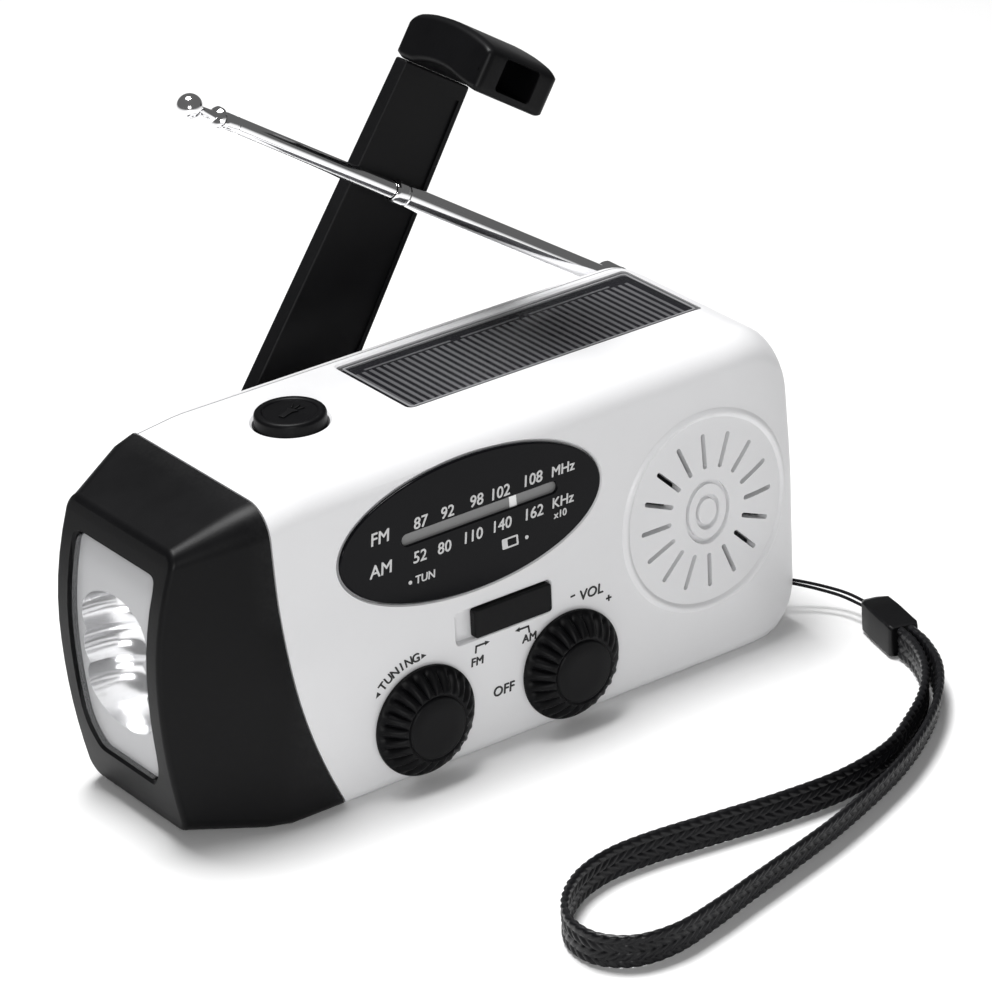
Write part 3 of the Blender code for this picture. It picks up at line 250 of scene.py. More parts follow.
DULL = (("Specular IOR Level", 0.12),)
LOOKS = {
    "white": look("white_abs", (0.77, 0.77, 0.78), 0.36, tone=0.012, depth=0.006),
    "black": look("black_abs", (0.003, 0.003, 0.0035), 0.4, tone=0.18, wear=0.02, sockets=DULL),
    "soft_black": look("black_knob", (0.002, 0.002, 0.0025), 0.42, tone=0.2, wear=0.02, sockets=DULL),
    "gloss": look("gloss_black", (0.003, 0.003, 0.004), 0.12, tone=0.1, spread=0.04, depth=0.002,
                  sockets=DULL),
    "print_white": look("print_white", (0.62, 0.62, 0.62), 0.55, tone=0.04, depth=0.01),
    "print_black": look("print_black", (0.012, 0.012, 0.012), 0.55, tone=0.2, depth=0.01),
    "pointer": look("pointer_white", (0.95, 0.95, 0.95), 0.4, tone=0.02),
    "strip": look("scale_grey", (0.24, 0.24, 0.24), 0.5, depth=0.01),
    "chrome": look("chrome", (0.96, 0.96, 0.97), 0.09, 1, tone=0.02, spread=0.025, grain=700,
                   depth=0.0015),
    "plated": look("plated_mirror", (0.95, 0.95, 0.96), 0.2, 1, tone=0.015, spread=0.04, grain=260,
                   depth=0.004),
    "reflector_plate": look("reflector_plate", (0.5, 0.5, 0.51), 0.4, 0.1, tone=0.03, depth=0.008),
    "steel": brushed_look("zinc_steel", (0.6, 0.6, 0.62)),
    "brass": brushed_look("turned_brass", (0.72, 0.55, 0.25)),
    "nylon": look("natural_nylon", (0.78, 0.77, 0.72), 0.5, depth=0.015),
    "board": look("solder_mask", (0.04, 0.2, 0.08), 0.35, tone=0.15, grain=500, depth=0.02),
    "cell": look("solar_cell", (0.004, 0.004, 0.006), 0.3, tone=0.4, spread=0.06, grain=900, depth=0.003,
                 sockets=DULL),
    # Silver of the cell's own lines; it also paints the highlight line round the solar cover's edge.
    "cell_line_and_highlight": look("cell_silver_and_painted_highlight", (0.3, 0.3, 0.31), 0.35, 0.3, tone=0.12),
    "wrap": look("battery_wrap", (0.08, 0.26, 0.1), 0.3, tone=0.08),
    "ferrite": look("ferrite", (0.07, 0.06, 0.06), 0.65, tone=0.2, depth=0.03),
    "paper": look("cone_paper", (0.07, 0.07, 0.07), 0.9, tone=0.3, grain=1200, depth=0.05),
    "cord": look("cord_nylon", (0.005, 0.005, 0.006), 0.6, tone=0.3, grain=2400, depth=0.05,
                 sockets=DULL + (("Sheen Weight", 0.05), ("Sheen Roughness", 0.4))),
    "webbing": look("webbing_nylon", (0.004, 0.004, 0.005), 0.38, tone=0.3, grain=2600, depth=0.03,
                    sockets=(("Specular IOR Level", 0.22), ("Sheen Weight", 0.02),
                             ("Sheen Roughness", 0.35))),
    "lens": clear_look("clear_lens", (0.85, 0.86, 0.88), 0.07, 0.05),
    "cover": clear_look("clear_cover", (0.03, 0.03, 0.035), 0.2, 0.3),
    "led": clear_look("led_epoxy", (0.92, 0.93, 0.88), 0.45, 0.08),
}


# --- mesh tools

def mesh_data(name, mesh):
    data = bpy.data.meshes.new(name)
    mesh.to_mesh(data)
    mesh.free()
    return data


def start_piece(name, mesh):
    """An object in metres from a closed bmesh in millimetres."""
    bmesh.ops.recalc_face_normals(mesh, faces=mesh.faces)
    mesh.transform(Matrix.Scale(MM, 4))
    return linked(name, mesh_data(name, mesh))


def settle(made):
    """Replaces the mesh by what its modifiers make of it."""
    graph = bpy.context.evaluated_depsgraph_get()
    data = bpy.data.meshes.new_from_object(made.evaluated_get(graph))
    made.modifiers.clear()
    old, made.data = made.data, data
    bpy.data.meshes.remove(old)
    return made


def combine(made, operation, meshes):
    """One boolean after another, each with a bmesh in millimetres."""
    for mesh in meshes:
        tool = start_piece("tool", mesh)
        modifier = made.modifiers.new("combine", "BOOLEAN")
        modifier.operation, modifier.solver, modifier.object = operation, "EXACT", tool
        settle(made)
        bpy.data.objects.remove(tool, do_unlink=True)


def cut(made, *meshes):
    combine(made, "DIFFERENCE", meshes)


def join(made, *meshes):
    combine(made, "UNION", meshes)


def soften(made, width, segments=3, angle=35):
    """Rounds the edges sharper than angle, width in millimetres."""
    modifier = made.modifiers.new("soften", "BEVEL")
    modifier.width, modifier.segments = width * MM, segments
    modifier.limit_method, modifier.angle_limit = "ANGLE", radians(angle)
    modifier.miter_outer = "MITER_ARC"
    return settle(made)


def finish_piece(made, kind, body, nodes, slot, sharp=30, weigh=True):
    """Material, shading, body and the CAD nodes that the piece stands for; slot, its material slot, is not
    used.
    """
    made.data.materials.clear()
    made.data.materials.append(LOOKS[kind])
    made.data.shade_smooth()
    made.data.set_sharp_from_angle(angle=radians(sharp))
    if weigh:
        made.modifiers.new("weigh", "WEIGHTED_NORMAL").keep_sharp = True
        settle(made)
    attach(made, body)
    if nodes:
        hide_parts(*nodes)
    return made


def piece(name, mesh, kind, body, nodes, slot, soft=(), **shading):
    """A whole piece from a mesh that needs no cuts; soft is what soften() takes."""
    made = start_piece(name, mesh)
    if soft:
        soften(made, *soft)
    return finish_piece(made, kind, body, nodes, slot, **shading)


def loft(rings, strips_at_end=False, closed=False):
    """A closed body through rings with equally many points; closed joins the last ring to the first."""
    mesh = bmesh.new()
    rows = [[mesh.verts.new(point) for point in ring] for ring in rings]
    count = len(rows[0])
    pairs = list(zip(rows, rows[1:])) + ([(rows[-1], rows[0])] if closed else [])
    for low, high in pairs:
        for i in range(count):
            j = (i + 1) % count
            mesh.faces.new((low[i], low[j], high[j], high[i]))
    if closed:
        return mesh
    mesh.faces.new(rows[0])
    last = rows[-1]
    if strips_at_end:
        for i in range(count // 2 - 1):
            mesh.faces.new((last[i], last[i + 1], last[count - 2 - i], last[count - 1 - i]))
    else:
        mesh.faces.new(last)
    return mesh


AXES = {
    "X": lambda u, v, w: (w, u, v),
    "Y": lambda u, v, w: (u, w, v),
    "Z": lambda u, v, w: (u, v, w),
}


def stacked(stations, axis="Y", closed=False):
    """A loft through (outline, height) stations along the axis."""
    place = AXES[axis]
    return loft([[place(u, v, height) for u, v in outline] for outline, height in stations], closed=closed)


def prism(outline, low, high, axis="Y"):
    return stacked(((outline, low), (outline, high)), axis)


def flared(outline, stations, axis="Y"):
    """Rings of outline(grow) at each (height, grow) station along the axis."""
    return stacked([(outline(grow), height) for height, grow in stations], axis)


def box(low, high):
    outline = ((low[0], low[1]), (high[0], low[1]), (high[0], high[1]), (low[0], high[1]))
    return prism(outline, low[2], high[2], "Z")


def arc(u, v, radius, degrees):
    """Points (u, v) round a centre."""
    return [(u + radius * cos(radians(a)), v + radius * sin(radians(a))) for a in degrees]


def ellipse(u, v, half_u, half_v, count=96):
    turn = 2 * pi / count
    return [(u + half_u * cos(i * turn), v + half_v * sin(i * turn)) for i in range(count)]


def circle(u, v, radius, count=64):
    return ellipse(u, v, radius, radius, count)


def rounded(u, v, width, height, radius, steps=6):
    points = []
    for corner, (side_u, side_v) in enumerate(((1, 1), (-1, 1), (-1, -1), (1, -1))):
        for step in range(steps + 1):
            angle = (corner + step / steps) * pi / 2
            points.append((
                u + side_u * (width / 2 - radius) + radius * cos(angle),
                v + side_v * (height / 2 - radius) + radius * sin(angle),
            ))
    return points


def grown(u, v, width, height, radius, steps=6):
    """A rounded rectangle as an outline for flared()."""
    return lambda grow: rounded(u, v, width + 2 * grow, height + 2 * grow, radius + grow, steps)


def grown_circle(u, v, radius, count=64):
    return lambda grow: circle(u, v, radius + grow, count)


def hollow_prism(outer, inner, low, high, axis="Y"):
    """A frame between two outlines with equally many points."""
    return stacked(((outer, low), (outer, high), (inner, high), (inner, low)), axis, True)


def turned(profile, count=48):
    """A body turned about Z from (radius, height) points round a closed section."""
    mesh = bmesh.new()
    rows = []
    for radius, height in profile:
        ring = circle(0, 0, radius, count) if radius else [(0, 0)]
        row = [mesh.verts.new((u, v, height)) for u, v in ring]
        rows.append(row if radius else row * count)
    pairs = list(zip(rows, rows[1:])) + ([] if profile[0][0] == 0 else [(rows[-1], rows[0])])
    for low, high in pairs:
        for i in range(count):
            j = (i + 1) % count
            mesh.faces.new(dict.fromkeys((low[i], low[j], high[j], high[i])))
    return mesh


def placed(mesh, matrix):
    bmesh.ops.transform(mesh, matrix=matrix, verts=mesh.verts)
    return mesh


def gathered(meshes):
    """Several separate bodies in one bmesh."""
    whole = bmesh.new()
    for mesh in meshes:
        data = mesh_data("part", mesh)
        whole.from_mesh(data)
        bpy.data.meshes.remove(data)
    return whole


def shifted(x, y, z):
    return Matrix.Translation((x, y, z))


def rotated(angle, axis):
    return Matrix.Rotation(angle, 4, axis)


def along_y(x, z):
    return shifted(x, 0, z) @ rotated(-pi / 2, "X")


def along_x(y, z):
    return shifted(0, y, z) @ rotated(pi / 2, "Y")


def rod(x, z, radius, low, high, count=48):
    return prism(circle(x, z, radius, count), low, high, "Y")


def smooth_route(points, count):
    """Evenly spaced points on a Catmull-Rom curve through given points."""
    ends = [points[0] + (points[0] - points[1]), *points, points[-1] + (points[-1] - points[-2])]
    fine = []
    for a, b, c, d in zip(ends, ends[1:], ends[2:], ends[3:]):
        for step in range(24):
            t = step / 24
            square, cube = 2 * a - 5 * b + 4 * c - d, 3 * b - a - 3 * c + d
            fine.append(0.5 * (2 * b + (c - a) * t + square * t * t + cube * t ** 3))
    fine.append(points[-1])
    reach = [0]
    for before, after in zip(fine, fine[1:]):
        reach.append(reach[-1] + (after - before).length)
    even, place = [], 0
    for i in range(count):
        wanted = reach[-1] * i / (count - 1)
        while place < len(reach) - 2 and reach[place + 1] < wanted:
            place += 1
        share = (wanted - reach[place]) / (reach[place + 1] - reach[place])
        even.append(fine[place].lerp(fine[place + 1], share))
    return even


# --- wrist strap

def strand_route():
    """Out of the case, round inside the bead and back: a hairpin of one thin cord."""
    line = smooth_route([Vector(p) for p in CORD_ROUTE], 40)
    there, back = [], []
    for i, point in enumerate(line):
        before, after = line[max(i - 1, 0)], line[min(i + 1, len(line) - 1)]
        side = (after - before).cross(Vector((0, 0, 1))).normalized()
        spread = side * STRAND_OFFSET * (1 + 0.25 * sin(pi * i / 39))
        there.append(point + spread + Vector((0, 0, 0.2)))
        back.append(point - spread)
    centre = Vector(BEAD_CENTRE)
    down = Vector((-sin(BEAD_TURN), -cos(BEAD_TURN), 0))
    wide = Vector((-down.y, down.x, 0))
    turn = []
    for degrees in range(-90, 91, 15):
        angle = radians(degrees)
        turn.append(centre + down * (1.6 * cos(angle) - 2.4) + wide * (1.5 * sin(angle)))
    if (turn[0] - there[-1]).length > (turn[-1] - there[-1]).length:
        turn.reverse()
    return smooth_route(there + turn + back[::-1], 150)


def make_strands():
    route = strand_route()
    curve = bpy.data.curves.new("strap_strands", "CURVE")
    curve.dimensions, curve.bevel_depth, curve.bevel_resolution = "3D", STRAND_RADIUS * MM, 3
    curve.use_fill_caps = True
    spline = curve.splines.new("POLY")
    spline.points.add(len(route) - 1)
    for target, point in zip(spline.points, route):
        target.co = (*(point * MM), 1)
    curve.materials.append(LOOKS["cord"])
    made = linked("strap_strands", curve)
    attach(made, "case")
    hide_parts("strap_cord")


def make_bead():
    """A moulded slide: tapered nose, flat flanks and a mouth for the webbing."""
    sizes = ((-7, 3.4, 4), (-4.6, 5.5, 6), (-1, 5.8, 6.2), (6.2, 5.8, 6.2), (7, 5.2, 5.6))
    stations = [(rounded(0, 0, wide, high, 0.55, 4), along) for along, wide, high in sizes]
    turn = Matrix.Translation(BEAD_CENTRE) @ rotated(pi - BEAD_TURN, "Z")
    made = start_piece("strap_slide", placed(stacked(stations), turn))
    cut(made, placed(prism(rounded(0, 0, 4.4, 5.4, 0.4, 3), 6.4, 9), turn))
    soften(made, 0.18, 2, 25)
    return finish_piece(made, "black", "case", ["strap_bead"], "black_shell")


def band_frame(points, i):
    """Lowest middle point, inward side and rise of the strap at a station."""
    before, after = points[max(i - 1, 0)], points[min(i + 1, len(points) - 1)]
    inwards = (after - before).cross(Vector((0, 0, 1))).normalized()
    share = i / (len(points) - 1) / BAND_LEAN_SHARE
    lean = BAND_LEAN * sin(pi * share) if share < 1 else 0
    rise = Vector((0, 0, cos(lean))) - inwards * sin(lean)
    return points[i], inwards, rise


def braid_height(along, across):
    """Plaited columns of slanting strands, alternately up and down, from 0 in a furrow to 1 on a strand."""
    column, pitch = BAND_WIDE / 4, 1.9
    place = across / column
    number = min(3, int(place))
    inside = place - number
    slant = inside if number % 2 else 1 - inside
    strand = (along / pitch + 0.85 * slant + 0.25 * number) % 1
    return sin(pi * strand) ** 0.7 * (0.35 + 0.65 * sin(pi * inside) ** 0.5)


def make_webbing(bead):
    """A braided flat strap: a loft along the route, with the braid raised on both faces."""
    stations, across = 1300, 32
    points = smooth_route([Vector((x, y, BAND_LOW_Z)) for x, y in WEBBING_ROUTE], stations)
    path, rings, reach = [], [], 0
    for i in range(stations):
        low, inwards, rise = band_frame(points, i)
        reach += (points[i] - points[i - 1]).length if i else 0
        path.append(low + rise * BAND_WIDE / 2)
        ring = []
        for side in (1, -1):
            for j in range(across + 1):
                share = j / across if side == 1 else 1 - j / across
                height = BAND_WIDE * share
                edge = min(share, 1 - share) * BAND_WIDE
                round_off = sqrt(max(0, 1 - max(0, 1 - edge / 0.6) ** 2))
                raise_by = BRAID_RISE * braid_height(reach, height)
                half = (BAND_THICK / 2 - BRAID_RISE) * round_off + raise_by * min(1, edge / 0.25)
                ring.append(low + rise * height + inwards * side * max(half, 0.02))
        rings.append(ring)
    made = piece("strap_braid", loft(rings), "webbing", "case", ["strap_webbing"], "strap_fabric",
                 sharp=60, weigh=False)


# --- case

def rounding(x, radius, end):
    reach = x - (end - radius)
    if reach <= 0:
        return 0
    return radius - sqrt(max(0, radius * radius - reach * reach))


def front_rounding(x, wall=0):
    start = RIGHT - FRONT_CORNER_X
    if x <= start:
        return 0
    share = min(1, (x - start) / (FRONT_CORNER_X - wall))
    return (FRONT_CORNER_Y - wall) * (1 - sqrt(1 - share * share))


def lean_shift(z):
    """The upper front leans back, and eases into the upright lower front."""
    above = z - (LEAN_START - LEAN_EASE)
    if above <= 0:
        return 0
    if above >= 2 * LEAN_EASE:
        return LEAN * (z - LEAN_START)
    return LEAN * above * above / (4 * LEAN_EASE)


def front_y(x, z):
    return FRONT + front_rounding(x) + lean_shift(z)


def top_at(x):
    if x >= SLOPE_START:
        return HEIGHT
    share = (SLOPE_START - x) / (SLOPE_START - SLOPE_END_X)
    return HEIGHT - (HEIGHT - SLOPE_END_Z) * min(share, 1.6)


def section(x, front, back, low, high, radii, leaning=True, side_heights=SIDE_HEIGHTS):
    """A closed YZ section: top front corner, front side, two lower corners, back side, top back corner."""
    top_front, bottom, top_back = radii
    quarter = [i * pi / 2 / CORNER_STEPS for i in range(CORNER_STEPS + 1)]
    ease = [(1 - sin(t), 1 - cos(t)) for t in quarter]
    points = [(front + top_front * a, high - top_front * b) for a, b in ease]
    points += [(front, z) for z in side_heights]
    points += [(front + bottom * b, low + bottom * a) for a, b in ease]
    points += [(back - bottom * a, low + bottom * b) for a, b in ease]
    points += [(back, z) for z in reversed(side_heights)]
    points += [(back - top_back * b, high - top_back * a) for a, b in ease]
    return [(x, y + (lean_shift(z) if leaning and y < 0 else 0), z) for y, z in points]


def case_section(x, wall=0, side_heights=SIDE_HEIGHTS):
    end = RIGHT - wall
    return section(
        x,
        FRONT + wall + front_rounding(x, wall),
        HALF_DEPTH - wall - rounding(x, END_PLAN_RADIUS - wall, end),
        wall + rounding(x, END_LOW_RADIUS - wall, end),
        top_at(x) - wall - rounding(x, END_TOP_RADIUS - wall, end),
        (TOP_FRONT_RADIUS - wall, max(0.6, LOW_RADIUS - wall), TOP_BACK_RADIUS - wall),
        side_heights=side_heights,
    )


def case_body(wall=0, left=-62):
    end, radius = RIGHT - wall, END_TOP_RADIUS - wall
    stations = [left, -52.8, -47, -44, -41, SLOPE_START + 1, 0, 47.9, 49, 50.2]
    stations += [end - radius + radius * sin(radians(a)) for a in range(0, 91, 6)]
    return loft([case_section(x, wall) for x in stations])


def join_curve(shift=0):
    sweep = [(z, max(0, 1 - z / JOIN_HEIGHT) ** 2.2) for z in (*range(-3, 50, 2), 70)]
    return [(JOIN_X + JOIN_SWEEP * share + shift, z) for z, share in sweep]


def left_of_join():
    return prism(join_curve() + [(-90, 70), (-90, -3)], -40, 40)


def right_of_join():
    return prism(join_curve(-GAP) + [(0, 70), (0, -3)], -40, 40)


def dial_matrix():
    hinge = shifted(0, FRONT, LEAN_START)
    return hinge @ rotated(-atan(LEAN), "X") @ hinge.inverted()


def dial_outline(grow):
    return ellipse(DIAL_X, DIAL_Z, DIAL_HALF_WIDTH + grow, DIAL_HALF_HEIGHT + grow, 128)


def grille_slot(index):
    length = SLOT_OUTER - SLOT_INNER
    slot = rounded((SLOT_OUTER + SLOT_INNER) / 2, 0, length, SLOT_WIDTH, SLOT_WIDTH / 2 - 0.01, 4)
    turn = rotated(-index * 2 * pi / GRILLE_SLOTS, "Y")
    return placed(prism(slot, -30, -18), shifted(SPEAKER_X, 0, SPEAKER_Z) @ turn)


def grille_groove(outer, inner):
    """An oval ring cut into the middle of the grille, wider at its mouth."""
    floor, lip = FRONT + RING_DEPTH, FRONT + 0.2
    profile = (
        (outer + 0.15, -30), (outer + 0.15, FRONT), (outer, lip), (outer, floor), (inner, floor),
        (inner, lip), (inner - 0.15, FRONT), (inner - 0.15, -30),
    )
    ring = placed(turned(profile, 96), along_y(0, 0))
    centre = shifted(SPEAKER_X, 0, SPEAKER_Z)
    return placed(ring, centre @ Matrix.Diagonal((RING_NARROW, 1, 1, 1)))


def screw_post(x, z):
    low, high = (1, z + 3.2) if z < HEIGHT / 2 else (z - 3.2, HEIGHT - 1)
    return box((x - 3.2, 8, low), (x + 3.2, SEAM_Y - 0.4, high))


def recess(outline, depth, lip=0.3):
    """A cutter from the front: straight walls, with a small chamfer at the mouth."""
    return flared(outline, ((FRONT - 6, lip), (FRONT - 0.05, lip), (FRONT + lip, 0), (FRONT + depth, 0)))


def well(outline, bottom, face, lip, axis="Y"):
    """A cutter from above or behind, down to the bottom, with a chamfer where it meets the face."""
    stations = ((bottom, 0), (face - lip + 0.05, 0), (face + 0.05, lip), (face + 8, lip))
    return flared(outline, stations, axis)


def make_front_case():
    made = start_piece("front_shell", case_body())
    cut(made, case_body(WALL, -70))
    join(
        made,
        gathered([screw_post(x, z) for x, z in SCREWS]),
        box((56.5, LUG_Y - 4.5, 2.2), (60, LUG_Y + 4.5, 10.5)),
    )
    slot = rounded(SCALE_X, SCALE_Z, SCALE_LENGTH + 3, 9, 1, 3)
    solar = grown(SOLAR_X, SOLAR_Y, SOLAR_LENGTH, SOLAR_WIDTH, 1)
    button = grown_circle(BUTTON_X, BUTTON_Y, BUTTON_RADIUS + 0.4, 80)
    cut(
        made,
        box((-80, SEAM_Y, -5), (80, 40, 80)),
        left_of_join(),
        gathered([grille_slot(i) for i in range(GRILLE_SLOTS)]),
        gathered([grille_groove(outer, inner) for outer, inner in GRILLE_RINGS]),
        placed(recess(lambda grow: dial_outline(GAP + grow), DIAL_THICK + 0.1, 0.35), dial_matrix()),
        placed(prism(slot, FRONT - 1, FRONT + 6), dial_matrix()),
        recess(grown(BAND_X, BAND_Z, BAND_LENGTH, BAND_HEIGHT, 0.8), 1.3),
        prism(rounded(BAND_X, BAND_Z, 9, 3.2, 0.6), -30, -18),
        gathered([recess(grown_circle(x, KNOB_Z, SHAFT_RADIUS + 0.4), 7) for x in (TUNING_X, VOLUME_X)]),
        gathered([
            well(solar, HEIGHT - SOLAR_DEPTH, HEIGHT, 0.4, "Z"),
            well(button, HEIGHT - 8, HEIGHT, 0.45, "Z"),
        ]),
        box((LUG_X - 1.8, LUG_Y - 3, LUG_Z - 2.2), (70, LUG_Y + 3, LUG_Z + 2.2)),
        gathered([rod(x, z, 1.5, 9.5, 25, 24) for x, z in SCREWS]),
    )
    finish_piece(made, "white", "case", ["front_case"], "white_shell", sharp=24)


def make_grille_rim():
    """The low rounded ring round the grille, laid on the curved front."""
    def row(radius, rise):
        return [(u, front_y(u, v) - rise, v) for u, v in circle(SPEAKER_X, SPEAKER_Z, radius, 120)]

    steps = 12
    rings = []
    for step in range(steps + 1):
        share = step / steps
        radius = GRILLE_PLATE_RADIUS + (GRILLE_RADIUS - GRILLE_PLATE_RADIUS) * share
        rings.append(row(radius, GRILLE_RISE * sin(pi * share) ** 1.3 - 0.015))
    rings += [row(GRILLE_RADIUS, -0.8), row(GRILLE_PLATE_RADIUS, -0.8)]
    piece("grille_ring", loft(rings, closed=True), "white", "case", (), "white_shell", sharp=50, weigh=False)


def make_back_case():
    made = start_piece("back_shell", case_body())
    cut(
        made,
        case_body(WALL, -70),
        box((-80, -40, -5), (80, SEAM_Y + GAP, 80)),
        left_of_join(),
        well(grown_circle(HUB_X, HUB_Z, 6), 10, HALF_DEPTH, 0.45),
        rod(ANTENNA_X - 0.5, ANTENNA_Z - 1, 2.6, 10, 30),
        gathered([rod(x, z, 1.5, 10, 30, 24) for x, z in SCREWS]),
        gathered([well(grown_circle(x, z, 2.7, 40), 21.3, HALF_DEPTH, 0.3) for x, z in SCREWS]),
    )
    finish_piece(made, "white", "case", ["back_case"], "white_shell", sharp=24)


def screw(node, x, z, profile, seat, reach, body):
    """A turned screw with a Phillips recess, cut down to its seat."""
    made = start_piece(node + "_seen", placed(turned(profile, 40), along_y(x, z)))
    top, thin = profile[-1][1], reach * 0.24
    for wide, high in ((reach, thin), (thin, reach)):
        bar = box((-wide / 2, -high / 2, seat), (wide / 2, high / 2, top + 1))
        cut(made, placed(bar, along_y(x, z) @ rotated(0.4 + x, "Z")))
    finish_piece(made, "steel", body, [node], "steel")


def make_screws():
    profile = (
        (0, 10), (1.1, 10), (1.2, 10.6), (1.2, 21.6), (2.3, 21.6), (2.4, 21.7), (2.35, 21.95),
        (1.9, 22.25), (1.2, 22.42), (0, 22.5),
    )
    for number, (x, z) in enumerate(SCREWS, 1):
        screw(f"case_screw_{number}", x, z, profile, 21.85, 2.6, "case")
    face = ARM_BACK + GAP
    profile = (
        (0, face), (4.1, face), (4.2, face + 0.15), (4.15, face + 0.55), (3.6, face + 1.1),
        (2.2, face + 1.42), (0, face + 1.5),
    )
    screw("hub_screw", HUB_X, HUB_Z, profile, face + 0.5, 4.2, "crank")


# --- torch head

def head_end_x(z):
    """The end bows out at HEAD_MIDDLE."""
    end, height = (HEAD_TOP_X, HEAD_TOP - HEAD_MIDDLE) if z >= HEAD_MIDDLE else (HEAD_LOW_X, HEAD_MIDDLE)
    return HEAD_MIDDLE_X + (end - HEAD_MIDDLE_X) * ((z - HEAD_MIDDLE) / height) ** 2


def head_end(inset, depth):
    ring = section(
        0, -HEAD_HALF_TOP + inset, HEAD_HALF_TOP - inset, HEAD_LIFT + inset, HEAD_TOP - inset,
        (max(0.4, 3 - inset), max(0.4, 3.6 - inset), max(0.4, 3 - inset)), False, HEAD_SIDE_HEIGHTS,
    )
    narrow = (HEAD_HALF_TOP - HEAD_HALF_LOW) / HEAD_TOP / HEAD_HALF_TOP
    return [(head_end_x(z) + depth, y * (1 - narrow * (HEAD_TOP - z)), z) for _, y, z in ring]


def between(start, end, along, aside):
    """A ring at the share along of the way in X, and at the share aside of the way in Y and Z."""
    return [
        (a[0] + (b[0] - a[0]) * along, a[1] + (b[1] - a[1]) * aside, a[2] + (b[2] - a[2]) * aside)
        for a, b in zip(start, end)
    ]


def head_body(wall=0, depth=0, right=-30):
    stations = [case_section(x, wall, HEAD_SIDE_HEIGHTS) for x in (right, SLOPE_START, SLOPE_END_X)]
    if wall:
        return loft(stations + [head_end(wall, depth)], strips_at_end=True)
    ends = []
    for degrees in range(0, 91, 18):
        a = radians(degrees)
        ends.append(head_end(HEAD_RIM * (1 - cos(a)), HEAD_RIM * (1 - sin(a))))
    return loft(stations + [between(stations[-1], ends[0], *HEAD_FLANK)] + ends, strips_at_end=True)


def torch_window(extra=0):
    top, low = WINDOW_HALF_TOP + extra, WINDOW_HALF_LOW + extra
    high, bottom = WINDOW_HIGH + extra, WINDOW_LOW - extra
    corners = ((-top, high, 1.9), (top, high, 1.9), (low, bottom + 4, 3), (low - 3, bottom, 1.2),
               (-low + 3, bottom, 1.2), (-low, bottom + 4, 3))
    return filleted(corners)


def filleted(corners, steps=6):
    """A polygon of (u, v, radius) corners, each cut short by its radius and rounded."""
    points = []
    for i, (*corner, radius) in enumerate(corners):
        here = Vector(corner)
        before = (Vector(corners[i - 1][:2]) - here).normalized()
        after = (Vector(corners[(i + 1) % len(corners)][:2]) - here).normalized()
        start, end = here + before * radius, here + after * radius
        for step in range(steps + 1):
            t = step / steps
            points.append(tuple(start * (1 - t) ** 2 + here * (2 * t * (1 - t)) + end * t * t))
    return points


def behind_end(depth, low, high, steps=24):
    heights = [low + (high - low) * i / steps for i in range(steps + 1)]
    return [(head_end_x(z) + depth, z) for z in heights]


def window_cutter():
    """Straight through the front wall, with a chamfered mouth that follows the bowed end."""
    return loft([
        [(head_end_x(z) + depth, y, z) for y, z in torch_window(grow)]
        for depth, grow in ((-8, 0.5), (-0.1, 0.5), (0.55, 0), (9, 0))
    ])


def make_torch_head():
    made = start_piece("torch_shell", head_body())
    cut(made, head_body(HEAD_WALL, 2.2, -26), right_of_join(), window_cutter())
    finish_piece(made, "black", "case", ["torch_head"], "black_shell", sharp=28)


def window_slab(name, outer, inner):
    """A bowed slab that fills the window, between two depths behind the end face."""
    low, high = WINDOW_LOW - 2, WINDOW_HIGH + 2
    outline = behind_end(outer, low, high) + behind_end(inner, low, high)[::-1]
    made = start_piece(name, prism(outline, -14, 14))
    combine(made, "INTERSECT", [prism(torch_window(-GAP), -80, -50, "X")])
    return made


def make_torch_lens():
    made = window_slab("torch_glass", LENS_DEPTH, LENS_DEPTH + LENS_THICK)
    soften(made, 0.12, 2, 60)
    finish_piece(made, "lens", "case", ["torch_lens"], "lens_clear")


def cup(z):
    """A reflector's bowl, wider across than high, with a neck for its lamp."""
    mouth, mouth_x, depth = 6.1, -66.6, 9
    profile = [(0, -74), (6.6, -74), (mouth, mouth_x)]
    for step in range(1, 13):
        share = step / 12
        profile.append((mouth - 3.3 * share ** 1.7, mouth_x + depth * sin(share * pi / 2)))
    profile += [(2.75, -50), (0, -50)]
    stretch = Matrix.Diagonal((1, CUP_WIDE, 1, 1))
    return placed(turned(profile, 56), shifted(0, 0, z) @ stretch @ along_x(0, 0))


def make_reflector():
    """A plated block behind the lens; its front face between the bowls is duller."""
    face_depth = LENS_DEPTH + LENS_THICK + GAP
    made = window_slab("reflector_bowls", face_depth, 4)
    block = behind_end(HEAD_WALL + GAP, 10, 49) + [(-54, 49), (-54, 10)]
    join(made, prism(block, -11.8, 11.8))
    cut(made, *(cup(z) for z in LED_Z))
    finish_piece(made, "plated", "case", ["torch_reflector"], "reflector", sharp=26, weigh=False)
    made.data.materials.append(LOOKS["reflector_plate"])
    for face in made.data.polygons:
        corners = [made.data.vertices[i].co / MM for i in face.vertices]
        if all(abs(corner.x - head_end_x(corner.z) - face_depth) < 0.12 for corner in corners):
            face.material_index = 1


def make_lamps():
    radius, tip, base = 2.4, -60.5, -53.7
    angles = [radians(a) for a in range(0, 91, 10)]
    profile = [(radius * sin(a), tip + radius * (1 - cos(a))) for a in angles]
    profile += [(radius, base - 0.9), (2.75, base - 0.85), (2.75, base), (0, base)]
    for number, z in enumerate(LED_Z, 1):
        piece(f"torch_lamp_{number}", placed(turned(profile, 36), along_x(0, z)), "led", "case",
              [f"torch_led_{number}"], "lens_clear")


# --- top

